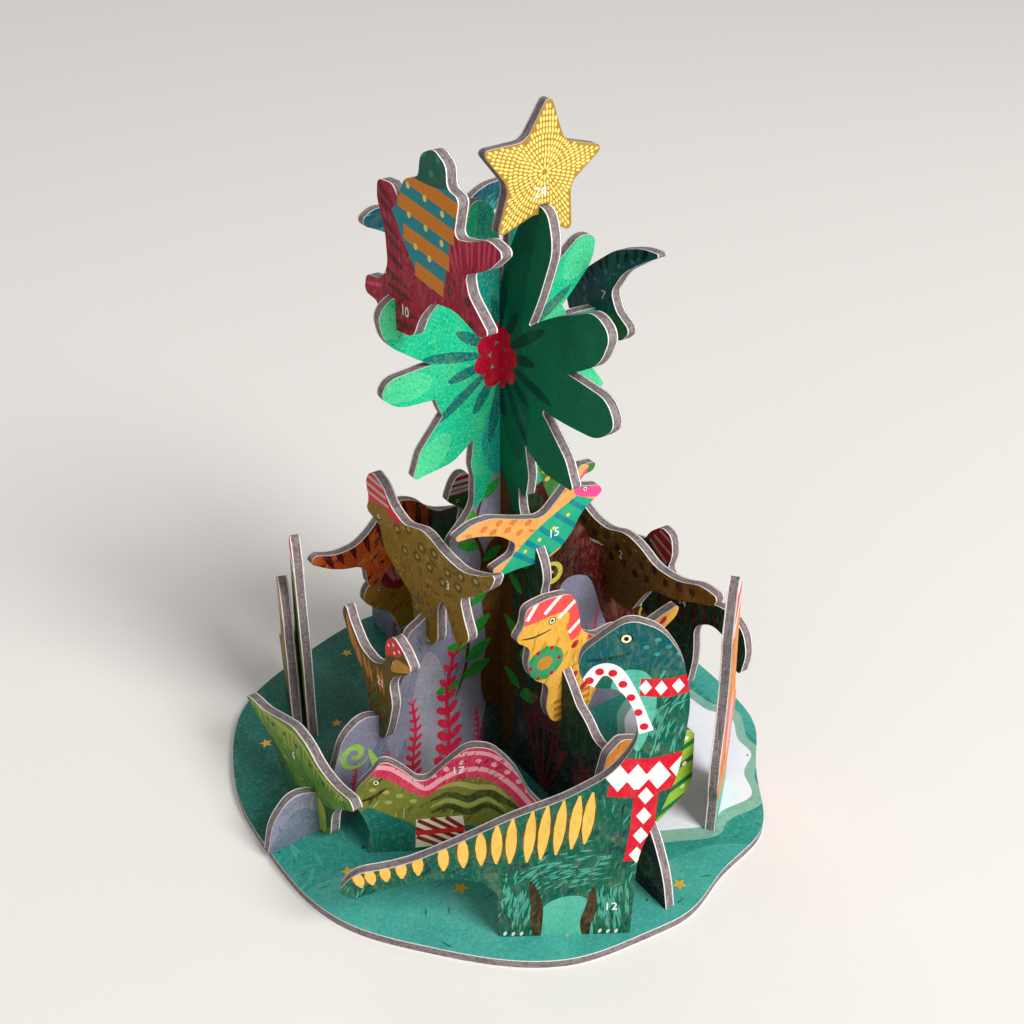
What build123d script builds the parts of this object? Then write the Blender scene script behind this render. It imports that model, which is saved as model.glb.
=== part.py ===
"""Pop-up advent calendar of slotted greyboard: a wavy round base, two uprights crossed
as a palm tree on rocks, and twenty-four flat pieces that hang on their edges or stand
in slots of the base. Millimetres, +Z up, origin under the trunk on the base's underside.
The front wings reach to -X and -Y, the back wings to +X and +Y."""

import os
from dataclasses import dataclass
from math import cos, pi, radians, sin

from build123d import *

# Sizes that every board shares
board = 2.3
slot_clearance = 0.08
tab_recess = 0.2
overrun = 1.0

# Base
base_radius = 65.0
base_rim_shares = [
    (10, 0.94), (28, 0.955), (48, 0.98), (68, 0.97), (90, 1.0), (112, 0.99), (134, 1.035),
    (149, 1.013), (166, 0.99), (181, 0.976), (194, 0.997), (207, 1.012), (221, 1.003),
    (235, 1.026), (249, 1.048), (263, 1.03), (273, 1.03), (285, 0.988), (300, 1.014),
    (312, 0.96), (321, 0.948), (332, 0.973), (345, 0.95), (357, 0.935),
]

# Uprights: half of each is a wing, drawn outward from the trunk and upward from the base
wing_inset = 1.0
wing_reach = base_radius - wing_inset
crown_height = 104.0
crown_radius = 40.0
crown_hub_share = 0.43
leaf_width = 12.5
wing_tab = 18.0
wing_tab_place_share = 0.55
half_lap_share = 0.62

left_front_rock_shares = [
    (1.0, 0), (0.975, 0.077), (0.89, 0.13), (0.80, 0.115), (0.76, 0.075), (0.73, 0.135),
    (0.68, 0.226), (0.60, 0.26), (0.52, 0.245), (0.485, 0.20), (0.46, 0.29), (0.40, 0.345),
    (0.41, 0.43), (0.34, 0.45), (0.29, 0.48), (0.225, 0.585), (0.23, 0.62), (0.17, 0.655),
    (0.125, 0.69), (0.11, 1.0),
]
right_front_rock_shares = [
    (1.0, 0), (0.975, 0.077), (0.90, 0.17), (0.78, 0.235), (0.70, 0.265), (0.58, 0.267),
    (0.53, 0.30), (0.475, 0.318), (0.445, 0.345), (0.375, 0.395), (0.305, 0.45),
    (0.255, 0.525), (0.275, 0.567), (0.262, 0.604), (0.22, 0.64), (0.13, 0.683),
    (0.11, 1.0),
]
right_back_rock_shares = [
    (0.90, 0), (0.885, 0.07), (0.82, 0.14), (0.74, 0.165), (0.655, 0.226), (0.585, 0.317),
    (0.52, 0.365), (0.455, 0.41), (0.457, 0.46), (0.42, 0.475), (0.37, 0.50), (0.34, 0.547),
    (0.25, 0.60), (0.185, 0.643), (0.16, 0.69), (0.125, 0.75), (0.11, 1.0),
]
left_back_rock_shares = [
    (0.98, 0), (0.97, 0.09), (0.88, 0.17), (0.75, 0.23), (0.71, 0.32), (0.66, 0.40),
    (0.41, 0.52), (0.21, 0.605), (0.155, 0.65), (0.125, 0.70), (0.11, 1.0),
]

# Leaves of each half crown: degrees up from the wing's outward level, length as a share
# of the crown's radius, width as a share of the leaf's width
left_front_leaf_shares = [
    (80, 0.93, 0.72), (33, 0.86, 1.0), (1, 0.74, 0.65), (-45, 0.74, 0.82), (-78, 0.68, 0.72),
]
right_front_leaf_shares = [
    (67, 1.04, 1.0), (29, 1.06, 0.94), (4, 1.0, 0.92), (-36, 0.78, 0.9), (-72, 0.71, 0.85),
]
right_back_leaf_shares = [
    (80, 0.90, 0.7), (46, 0.81, 0.66), (6, 0.69, 0.85), (-28, 0.70, 0.8), (-64, 0.70, 0.8),
]
left_back_leaf_shares = [
    (74, 0.80, 0.75), (36, 0.86, 0.8), (4, 0.84, 0.8), (-42, 0.72, 0.82), (-78, 0.66, 0.72),
]
leaf_shape_shares = [
    (0, -0.28), (0.5, -0.5), (0.86, -0.46), (1.0, -0.06), (0.93, 0.36), (0.55, 0.5), (0, 0.28),
]
# The leaves that hang below the level end in a point
hanging_leaf_shares = [
    (0, -0.3), (0.5, -0.56), (0.78, -0.44), (1.05, 0.14), (0.86, 0.42), (0.55, 0.5), (0, 0.3),
]

# Figures: their widths and heights are shares of one length
figure_size = 50.0
star_points = 5
star_inner_share = 0.5
star_lean = 7

# How far the corners of a drawn outline are rounded off into each other
soft_share = 0.9
crisp_share = 0.38


@dataclass
class Hung:
    """A piece that hangs on a wing's edge, crosswise. On the rock its place is a share of the
    wing's reach, negative in front, and a share of the crown's height. On the crown both are
    shares of the crown's radius, from the crown's middle."""
    name: str
    upright: str
    carrier: str
    place_share: tuple
    size_share: tuple
    grip_share: tuple
    outline_shares: list
    round_share: float = soft_share
    reach_share: float = 0.115


@dataclass
class Standing:
    """A piece that stands in a slot of the base, at a place in shares of the base's radius."""
    name: str
    place_share: tuple
    turn: float
    size_share: tuple
    tab_share: tuple
    outline_shares: list
    round_share: float = soft_share


def star_shares(points, inner_share, lean):
    """A star in a unit square, its tips and inner corners in turn."""
    corners = []
    for step in range(2 * points):
        reach = 0.5 if step % 2 == 0 else 0.5 * inner_share
        angle = pi / 2 - radians(lean) - step * pi / points
        corners.append((0.5 + reach * cos(angle), 0.5 + reach * sin(angle)))
    return corners


hung_pieces = [
    Hung("star_topper", "right_front", "crown", (-0.336, 0.949), (0.588, 0.588), (0.524, 0.295),
         star_shares(star_points, star_inner_share, star_lean), crisp_share),
    Hung("flyer_with_gift", "left_front", "crown", (-0.6, 0.424), (0.99, 0.794), (0.22, 0.08),
         [(0, 0.10), (0.02, 0.20), (0.14, 0.22), (0.20, 0.32), (0.19, 0.50), (0.14, 0.63),
          (0.15, 0.73), (0.26, 0.74), (0.30, 0.68), (0.35, 0.80), (0.45, 0.83), (0.47, 0.95),
          (0.56, 1.0), (0.64, 0.95), (0.64, 0.85), (0.72, 0.83), (0.68, 0.64), (0.78, 0.66),
          (0.90, 0.72), (1.0, 0.69), (0.90, 0.58), (0.75, 0.50), (0.77, 0.41), (0.90, 0.28),
          (0.84, 0.24), (0.68, 0.30), (0.52, 0.27), (0.42, 0.14), (0.37, 0.02), (0.24, 0),
          (0.12, 0.01), (0.10, 0.09)], 0.7),
    Hung("teal_flyer", "left_front", "crown", (0.613, 0.091), (0.64, 0.466), (0.31, 0.09),
         [(0, 0.24), (0.14, 0.44), (0.30, 0.62), (0.54, 0.86), (0.80, 0.98), (1.0, 1.0),
          (0.84, 0.88), (0.62, 0.68), (0.50, 0.44), (0.56, 0.28), (0.72, 0.16), (0.61, 0),
          (0.44, 0.10), (0.28, 0.01), (0.16, 0.10), (0.06, 0.04)], 0.7),
    Hung("orange_flyer", "right_front", "rock", (-0.21, 0.621), (0.78, 0.42), (0.58, 0.14),
         [(0, 0.62), (0.14, 0.74), (0.26, 0.74), (0.44, 0.61), (0.60, 0.52), (0.74, 0.76),
          (0.85, 1.0), (0.91, 0.96), (0.82, 0.76), (0.98, 0.68), (1.0, 0.60), (0.86, 0.44),
          (0.79, 0.22), (0.70, 0.06), (0.60, 0), (0.44, 0.03), (0.30, 0.02), (0.26, 0.12),
          (0.40, 0.20), (0.42, 0.34), (0.32, 0.50), (0.16, 0.60)], 0.7),
    Hung("teal_back_flyer", "right_front", "crown", (0.576, 0.325), (0.8, 0.48), (0.5, 0.16),
         [(0, 0.74), (0.10, 0.86), (0.26, 0.80), (0.40, 0.66), (0.50, 0.62), (0.60, 0.66),
          (0.76, 0.84), (0.92, 0.86), (1.0, 0.72), (0.84, 0.62), (0.68, 0.40), (0.60, 0.12),
          (0.52, 0), (0.46, 0.02), (0.40, 0.14), (0.32, 0.42), (0.16, 0.62)]),
    Hung("duckbill_with_hat", "left_front", "rock", (-0.312, 0.435), (1.06, 0.67), (0.45, 0.125),
         [(0, 0.66), (0.03, 0.76), (0.01, 0.90), (0.06, 1.0), (0.15, 0.96), (0.22, 0.84),
          (0.32, 0.79), (0.48, 0.88), (0.62, 0.82), (0.76, 0.81), (0.90, 0.90), (1.0, 1.0),
          (0.97, 0.88), (0.86, 0.72), (0.74, 0.60), (0.77, 0.46), (0.81, 0.34), (0.72, 0.19),
          (0.66, 0.34), (0.62, 0.48), (0.57, 0.38), (0.56, 0.08), (0.50, 0), (0.38, 0.03),
          (0.36, 0.28), (0.27, 0.34), (0.14, 0.46), (0.12, 0.62)], 0.75),
    Hung("small_raptor", "left_front", "rock", (-0.517, 0.221), (0.606, 0.664), (0.44, 0.085),
         [(0, 0.78), (0.06, 0.88), (0.12, 0.76), (0.26, 0.62), (0.44, 0.60), (0.63, 0.70),
          (0.65, 0.90), (0.77, 1.0), (0.90, 0.95), (1.0, 0.86), (0.94, 0.79), (0.76, 0.68),
          (0.66, 0.55), (0.70, 0.40), (0.62, 0.16), (0.54, 0), (0.38, 0.01), (0.34, 0.20),
          (0.28, 0.42), (0.12, 0.56)], 0.75),
    Hung("long_lizard", "left_front", "rock", (-0.78, 0.052), (1.08, 0.48), (0.64, 0.21),
         [(0, 0.64), (0.06, 0.68), (0.18, 0.72), (0.34, 0.86), (0.48, 0.98), (0.60, 0.96),
          (0.70, 0.84), (0.82, 0.82), (0.97, 0.90), (1.0, 0.82), (0.86, 0.62), (0.79, 0.42),
          (0.76, 0.10), (0.68, 0), (0.58, 0.02), (0.52, 0.14), (0.42, 0.06), (0.33, 0.14),
          (0.27, 0.40), (0.14, 0.54)], 0.75),
    Hung("raptor_with_wreath", "right_front", "rock", (-0.375, 0.317), (0.91, 0.708), (0.30, 0.226),
         [(0, 0.78), (0.05, 0.86), (0.06, 0.98), (0.18, 1.0), (0.32, 0.97), (0.36, 0.84),
          (0.38, 0.66), (0.48, 0.56), (0.60, 0.58), (0.76, 0.46), (0.92, 0.52), (1.0, 0.54),
          (0.98, 0.46), (0.80, 0.32), (0.62, 0.24), (0.50, 0.20), (0.43, 0.02), (0.36, 0),
          (0.22, 0.03), (0.18, 0.16), (0.20, 0.34), (0.10, 0.44), (0.07, 0.56), (0.09, 0.68)], 0.75),
    Hung("horned_dinosaur_with_gift", "right_front", "rock", (-0.69, 0.173), (0.54, 0.62), (0.22, 0.5),
         [(0, 0.46), (0.02, 0.72), (0.08, 0.92), (0.22, 1.0), (0.38, 0.94), (0.52, 0.86),
          (0.64, 0.92), (0.72, 0.82), (0.98, 0.78), (1.0, 0.24), (0.60, 0.02), (0.50, 0.12),
          (0.38, 0.01), (0.10, 0), (0.08, 0.26)], 0.5),
    Hung("green_dinosaur_with_hat", "left_front", "rock", (0.7, 0.125), (0.92, 0.83), (0.217, 0.12),
         [(0, 0.70), (0.02, 0.78), (0.16, 0.82), (0.21, 0.92), (0.30, 1.0), (0.38, 0.98),
          (0.40, 0.86), (0.36, 0.74), (0.46, 0.68), (0.64, 0.70), (0.82, 0.76), (0.96, 0.70),
          (1.0, 0.56), (0.97, 0.40), (0.91, 0.42), (0.88, 0.56), (0.74, 0.60), (0.60, 0.50),
          (0.62, 0.28), (0.58, 0.02), (0.42, 0), (0.37, 0.14), (0.31, 0.02), (0.13, 0),
          (0.15, 0.24), (0.19, 0.44), (0.13, 0.62)], 0.8),
    Hung("spotted_dinosaur", "left_front", "rock", (0.473, 0.404), (1.12, 0.43), (0.286, 0.35),
         [(0, 0.66), (0.02, 0.82), (0.10, 0.98), (0.20, 0.86), (0.30, 0.84), (0.42, 0.96),
          (0.52, 0.92), (0.62, 0.80), (0.76, 0.82), (0.90, 0.98), (1.0, 0.97), (0.98, 0.84),
          (0.88, 0.74), (0.76, 0.58), (0.60, 0.50), (0.52, 0.18), (0.48, 0), (0.36, 0.01),
          (0.20, 0), (0.17, 0.30), (0.10, 0.50)]),
    Hung("dinosaur_with_bobble_hat", "right_front", "rock", (0.195, 0.577), (0.84, 0.42), (0.17, 0.40),
         [(0, 0.70), (0.01, 0.78), (0.04, 0.92), (0.08, 1.0), (0.13, 0.98), (0.18, 0.84),
          (0.30, 0.74), (0.48, 0.80), (0.66, 0.74), (0.84, 0.60), (1.0, 0.56), (0.98, 0.46),
          (0.82, 0.42), (0.70, 0.34), (0.69, 0.10), (0.64, 0), (0.50, 0.04), (0.34, 0.14),
          (0.22, 0.06), (0.10, 0.10), (0.08, 0.34), (0.11, 0.54)]),
    Hung("humped_dinosaur", "right_front", "rock", (0.47, 0.43), (0.94, 0.46), (0.72, 0.38),
         [(0, 0.60), (0.03, 0.68), (0.14, 0.60), (0.26, 0.62), (0.34, 0.74), (0.42, 0.92),
          (0.52, 1.0), (0.62, 0.92), (0.70, 0.74), (0.82, 0.66), (0.94, 0.62), (1.0, 0.50),
          (0.96, 0.40), (0.84, 0.36), (0.82, 0.08), (0.77, 0), (0.56, 0), (0.52, 0.16),
          (0.42, 0.22), (0.37, 0.06), (0.31, 0.10), (0.30, 0.36), (0.14, 0.42)]),
    Hung("frilled_dinosaur", "right_front", "rock", (0.6, 0.322), (0.72, 0.52), (0.46, 0.73),
         [(0, 0.50), (0.02, 0.62), (0.10, 0.72), (0.16, 0.94), (0.26, 1.0), (0.34, 0.90),
          (0.50, 0.92), (0.68, 0.90), (0.84, 0.66), (1.0, 0.50), (0.98, 0.40), (0.82, 0.40),
          (0.74, 0.24), (0.72, 0), (0.58, 0), (0.40, 0.04), (0.28, 0), (0.22, 0.26),
          (0.10, 0.36)]),
]

standing_pieces = [
    Standing("sail_back_with_gift", (-0.494, -0.305), -30, (0.84, 0.6), (0.2, 0.62),
             [(0.06, 0), (0.08, 0.24), (0, 0.52), (0.02, 0.64), (0.10, 0.76), (0.16, 0.90),
              (0.26, 0.80), (0.36, 0.64), (0.48, 0.82), (0.60, 0.98), (0.72, 0.96), (0.84, 0.76),
              (0.92, 0.48), (1.0, 0.34), (0.97, 0.22), (0.88, 0.14), (0.84, 0)]),
    Standing("long_neck_with_scarf", (-0.348, -0.865), -32, (1.386, 1.64), (0.5, 0.84),
             [(0, 0.175), (0.05, 0.235), (0.20, 0.26), (0.36, 0.33), (0.52, 0.41), (0.66, 0.46),
              (0.78, 0.53), (0.83, 0.585), (0.865, 0.65), (0.845, 0.74), (0.80, 0.80), (0.73, 0.80),
              (0.69, 0.84), (0.695, 0.90),
              (0.76, 0.95), (0.82, 0.99), (0.91, 0.96), (0.97, 0.88), (1.0, 0.76), (0.99, 0.64),
              (0.98, 0.54), (0.94, 0.42), (0.88, 0.28), (0.875, 0.12), (0.87, 0), (0.478, 0),
              (0.47, 0.08), (0.48, 0.15), (0.41, 0.205), (0.30, 0.215), (0.16, 0.19), (0.04, 0.15)]),
    Standing("tall_orange_dinosaur", (0.45, -0.695), 41, (0.56, 1.38), (0.2, 0.66),
             [(0.10, 0), (0.12, 0.14), (0.02, 0.20), (0, 0.34), (0.10, 0.40), (0.16, 0.56),
              (0.08, 0.74), (0, 0.80), (0.02, 0.90), (0.08, 0.98), (0.18, 1.0), (0.30, 0.95),
              (0.42, 0.84), (0.50, 0.70), (0.66, 0.50), (0.84, 0.36), (1.0, 0.32), (0.98, 0.24),
              (0.80, 0.19), (0.72, 0.10), (0.74, 0)]),
    Standing("tall_green_dinosaur", (-0.53, 0.555), 70, (0.52, 1.18), (0.2, 0.66),
             [(0.12, 0), (0.10, 0.20), (0, 0.42), (0.02, 0.62), (0.04, 0.80), (0.02, 0.90),
              (0.08, 0.97), (0.18, 1.0), (0.28, 0.94), (0.36, 0.80), (0.46, 0.62), (0.64, 0.42),
              (0.84, 0.31), (1.0, 0.28), (0.98, 0.20), (0.78, 0.15), (0.70, 0)]),
    Standing("crested_dinosaur", (-0.558, 0.631), 70, (0.44, 0.88), (0.25, 0.75),
             [(0.10, 0), (0.12, 0.26), (0.04, 0.44), (0.08, 0.66), (0, 0.78), (0.02, 0.90),
              (0.16, 1.0), (0.40, 0.98), (0.46, 0.84), (0.44, 0.70), (0.56, 0.54), (0.78, 0.42),
              (1.0, 0.38), (0.96, 0.28), (0.84, 0.20), (0.82, 0)]),
    Standing("striding_dinosaur", (0.30, 0.28), 135, (0.48, 0.54), (0.1, 0.3),
             [(0.04, 0), (0.02, 0.40), (0.06, 0.70), (0.18, 0.92), (0.38, 1.0), (0.60, 0.92),
              (0.80, 0.76), (1.0, 0.66), (0.97, 0.56), (0.80, 0.56), (0.72, 0.40), (0.70, 0),
              (0.54, 0), (0.52, 0.34), (0.42, 0.46), (0.34, 0.34), (0.32, 0)]),
    Standing("plated_dinosaur", (0.36, 0.62), 150, (0.88, 0.54), (0.3, 0.7),
             [(0.22, 0), (0.20, 0.22), (0.10, 0.30), (0, 0.34), (0.01, 0.46), (0.12, 0.56),
              (0.22, 0.66), (0.26, 0.86), (0.34, 0.74), (0.42, 1.0), (0.51, 0.80), (0.60, 0.98),
              (0.66, 0.72), (0.76, 0.80), (0.80, 0.56), (0.92, 0.50), (1.0, 0.58), (0.98, 0.40),
              (0.84, 0.30), (0.78, 0)], 0.6),
    Standing("hatching_egg", (0.62, 0.26), 120, (0.36, 0.44), (0.2, 0.8),
             [(0.12, 0), (0, 0.26), (0.03, 0.52), (0.14, 0.60), (0.22, 0.52), (0.30, 0.66),
              (0.26, 0.84), (0.36, 0.98), (0.56, 1.0), (0.70, 0.88), (0.68, 0.66), (0.80, 0.56),
              (0.96, 0.54), (1.0, 0.28), (0.88, 0)], 0.7),
    Standing("curled_dinosaur", (0.30, 0.80), 155, (0.44, 0.32), (0.2, 0.8),
             [(0.10, 0), (0, 0.30), (0.06, 0.62), (0.24, 0.90), (0.46, 1.0), (0.62, 0.88),
              (0.72, 0.62), (0.86, 0.72), (0.98, 0.58), (1.0, 0.26), (0.90, 0)], 0.8),
]


def outline_face(corners, round_share, square_corners=()):
    """A flat face whose straight runs are joined by tangent arcs, but at its square corners."""
    points = [Vector(across, up) for across, up in corners]
    count = len(points)
    runs = [points[(index + 1) % count] - points[index] for index in range(count)]
    trims = []
    for index in range(count):
        half_run = min(runs[index - 1].length, runs[index].length) / 2
        trims.append(0 if corners[index] in square_corners else round_share * half_run)
    edges = []
    for index in range(count):
        before = runs[index - 1].normalized()
        after = runs[index].normalized()
        start = points[index] - before * trims[index]
        end = points[index] + after * trims[index]
        if trims[index] > 0:
            edges.append(TangentArc(start, end, tangent=before))
        edges.append(Line(end, points[(index + 1) % count] - after * trims[(index + 1) % count]))
    return make_face(edges)


def scaled(shares, width, height):
    """Corners in millimetres from corners in shares of a width and a height."""
    return [(across * width, up * height) for across, up in shares]


def slot_width():
    """A slot takes one board with its clearance on both sides."""
    return board + 2 * slot_clearance


def figure_corners(piece):
    """A figure's corners in millimetres."""
    return scaled(piece.outline_shares, *figure_extent(piece))


def figure_extent(piece):
    """A figure's width and height."""
    width_share, height_share = piece.size_share
    return width_share * figure_size, height_share * figure_size


def leaf_face(rise, length_share, width_share):
    """One palm leaf, drawn outward from the crown's middle."""
    shares, round_share = leaf_shape_shares, soft_share
    if rise < 0:
        shares, round_share = hanging_leaf_shares, crisp_share
    corners = scaled(shares, length_share * crown_radius, width_share * leaf_width)
    return Pos(0, crown_height) * Rot(0, 0, rise) * outline_face(corners, round_share)


def wing_face(rock_shares, leaf_shares):
    """One wing, outward to the right: rock, trunk, half a crown and a tab under the foot."""
    corners = scaled(rock_shares, wing_reach, crown_height)
    trunk_corners = [(0, crown_height), (0, 0)]
    rock = outline_face(corners + trunk_corners, soft_share, trunk_corners + [corners[0]])
    crown = Pos(0, crown_height) * Circle(crown_hub_share * crown_radius)
    for rise, length_share, width_share in leaf_shares:
        crown += leaf_face(rise, length_share, width_share)
    outer_side = Pos(wing_reach, crown_height) * Rectangle(2 * wing_reach, 2 * crown_height)
    tab = Pos(wing_tab_place_share * wing_reach, -tab_depth() / 2) * Rectangle(wing_tab, tab_depth())
    return rock + (crown & outer_side) + tab


def tab_depth():
    """Tabs stop just short of the base's underside."""
    return board - tab_recess


def upright(front_face, back_face, plane):
    """A board with a front and a back wing, standing on the base."""
    outline = front_face.mirror(Plane.YZ) + back_face
    return extrude(plane * outline, amount=board / 2, both=True)


def upright_plane(name):
    """The left front board runs along X, the right front one along Y."""
    standing_on = (0, 0, board)
    if name == "left_front":
        return Plane(origin=standing_on, x_dir=(1, 0, 0), z_dir=(0, -1, 0))
    return Plane(origin=standing_on, x_dir=(0, 1, 0), z_dir=(1, 0, 0))


def hung_place(piece):
    """How far out along its wing a piece sits, and how high above the base."""
    out_share, up_share = piece.place_share
    if piece.carrier == "crown":
        return out_share * crown_radius, crown_height + up_share * crown_radius
    return out_share * wing_reach, up_share * crown_height


def hung_plane(piece):
    """Crosswise to its wing, with the middle of its seat at the origin, seen from the front."""
    station, rise = hung_place(piece)
    seat = board + rise
    if piece.upright == "left_front":
        return Plane(origin=(station, 0, seat), x_dir=(0, -1, 0), z_dir=(-1, 0, 0))
    return Plane(origin=(0, station, seat), x_dir=(1, 0, 0), z_dir=(0, -1, 0))


def hung_piece(piece):
    """The card's outline, less the slot that drops over the wing's edge."""
    width, height = figure_extent(piece)
    grip_across, grip_up = piece.grip_share
    outline = outline_face(figure_corners(piece), piece.round_share)
    outline = Pos(-grip_across * width, -grip_up * height) * outline
    slot_length = grip_up * height + overrun
    slot = Pos(0, -slot_length / 2) * Rectangle(slot_width(), slot_length)
    return extrude(hung_plane(piece) * (outline - slot), amount=board / 2, both=True)


def wing_slot(piece):
    """The slot in a wing's edge, from the piece's seat upward."""
    deep = board + 2 * overrun
    reach = piece.reach_share * crown_height
    return hung_plane(piece) * Pos(0, reach / 2, 0) * Box(deep, reach, slot_width())


def standing_plane(piece):
    """Upright on the base, with the middle of the card's tab at the origin."""
    across, deep = (share * base_radius for share in piece.place_share)
    turn = radians(piece.turn)
    along = (cos(turn), sin(turn), 0)
    facing = (sin(turn), -cos(turn), 0)
    return Plane(origin=(across, deep, board), x_dir=along, z_dir=facing)


def standing_tab(piece):
    """Width of a standing card's tab, and how far its middle is from the card's left edge."""
    width, height = figure_extent(piece)
    left_share, right_share = piece.tab_share
    return (right_share - left_share) * width, (left_share + right_share) * width / 2


def standing_piece(piece):
    """The card's outline, square at its foot, with a tab that drops into the base."""
    tab_width, tab_middle = standing_tab(piece)
    corners = figure_corners(piece)
    foot_corners = [corner for corner in corners if corner[1] == 0]
    outline = Pos(-tab_middle, 0) * outline_face(corners, piece.round_share, foot_corners)
    tab = Pos(0, -tab_depth() / 2) * Rectangle(tab_width, tab_depth())
    return extrude(standing_plane(piece) * (outline + tab), amount=board / 2, both=True)


def base_slot(plane, tab_width):
    """The slot through the base for one tab."""
    length = tab_width + 2 * slot_clearance
    deep = board + 2 * overrun
    return plane * Pos(0, -board / 2, 0) * Box(length, deep, slot_width())


def base_plate():
    """The wavy round board with a slot for every tab."""
    rim_points = []
    for angle, radius_share in base_rim_shares:
        reach = radius_share * base_radius
        rim_points.append((reach * cos(radians(angle)), reach * sin(radians(angle))))
    plate = extrude(make_face(Spline(*rim_points, periodic=True)), amount=board)
    for name in ("left_front", "right_front"):
        for side in (-1, 1):
            place = Pos(side * wing_tab_place_share * wing_reach, 0, 0)
            plate -= upright_plane(name) * place * base_slot(Plane.XY, wing_tab)
    for piece in standing_pieces:
        plate -= base_slot(standing_plane(piece), standing_tab(piece)[0])
    return plate


def half_lap_cut(lower):
    """Takes away one half of the line where the uprights cross."""
    height = half_lap_share * crown_height
    reach = crown_height + crown_radius
    middle = height - reach / 2 if lower else height + reach / 2
    return Pos(0, 0, board + middle) * Box(slot_width(), slot_width(), reach)


def build_part():
    """Every node of the calendar by its name."""
    nodes = {"base_plate": base_plate()}
    left_front = upright(
        wing_face(left_front_rock_shares, left_front_leaf_shares),
        wing_face(right_back_rock_shares, right_back_leaf_shares),
        upright_plane("left_front"),
    )
    right_front = upright(
        wing_face(right_front_rock_shares, right_front_leaf_shares),
        wing_face(left_back_rock_shares, left_back_leaf_shares),
        upright_plane("right_front"),
    )
    left_front -= half_lap_cut(lower=False)
    right_front -= half_lap_cut(lower=True)
    for piece in hung_pieces:
        if piece.upright == "left_front":
            left_front -= wing_slot(piece)
        else:
            right_front -= wing_slot(piece)
    nodes["upright_left_front"] = left_front
    nodes["upright_right_front"] = right_front
    for piece in hung_pieces:
        nodes[piece.name] = hung_piece(piece)
    for piece in standing_pieces:
        nodes[piece.name] = standing_piece(piece)
    return nodes


os.makedirs("parts", exist_ok=True)
for node_name, solid in build_part().items():
    export_step(solid, f"parts/{node_name}.step")
    print(f"{node_name}: {len(solid.solids())} solid, {solid.volume:.1f} mm3")
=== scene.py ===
"""Looks of the slotted greyboard advent calendar: the printed paper on both sides of every
board, the layered grey edges, the small printed ornaments and a plain studio. Metres, +Z up,
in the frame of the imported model."""

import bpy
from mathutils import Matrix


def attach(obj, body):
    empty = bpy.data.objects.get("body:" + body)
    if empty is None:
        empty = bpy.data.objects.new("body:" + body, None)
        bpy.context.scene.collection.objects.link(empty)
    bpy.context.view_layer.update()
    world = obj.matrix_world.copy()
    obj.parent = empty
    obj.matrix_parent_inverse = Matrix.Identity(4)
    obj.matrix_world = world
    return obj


bl_info = {
    "name": "Slotted Board Calendar",
    "version": (1, 0, 0),
    "blender": (4, 5, 0),
    "location": "3D View > Sidebar > Calendar",
    "description": "Prints, board edges and a studio for a calendar of slotted greyboard",
    "category": "Add Mesh",
}

import math
import random

import bmesh
import bpy
import numpy as np
from mathutils import Matrix, Vector
from mathutils.geometry import delaunay_2d_cdt

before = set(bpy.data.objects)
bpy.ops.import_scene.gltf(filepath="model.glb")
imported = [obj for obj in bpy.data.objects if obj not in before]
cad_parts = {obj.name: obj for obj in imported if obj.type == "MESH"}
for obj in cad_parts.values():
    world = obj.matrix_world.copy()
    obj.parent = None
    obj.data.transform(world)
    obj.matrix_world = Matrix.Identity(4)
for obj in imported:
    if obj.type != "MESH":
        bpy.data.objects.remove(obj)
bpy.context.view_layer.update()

MM = 0.001
BOARD = 2.3
FACING_LEFT = (
    "upright_right_front", "flyer_with_gift", "teal_flyer", "duckbill_with_hat", "small_raptor",
    "long_lizard", "green_dinosaur_with_hat", "spotted_dinosaur",
)
FACING_FRONT = (
    "upright_left_front", "star_topper", "orange_flyer", "teal_back_flyer", "raptor_with_wreath",
    "horned_dinosaur_with_gift", "dinosaur_with_bobble_hat", "humped_dinosaur",
    "frilled_dinosaur",
)
STANDING_TURNS = {
    "sail_back_with_gift": -30, "long_neck_with_scarf": -32, "tall_orange_dinosaur": 41,
    "tall_green_dinosaur": 70, "crested_dinosaur": 70, "striding_dinosaur": 135,
    "plated_dinosaur": 150, "hatching_egg": 120, "curled_dinosaur": 155,
}

# The photograph's viewpoint: the camera's place, where it looks and its lens and sensor in mm
CAMERA_PLACE = (-0.1498, -0.2235, 0.2355)
CAMERA_WAY = (0.4795, 0.7029, -0.5255)
CAMERA_LENS = 50.27
CAMERA_SENSOR = 36

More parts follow.
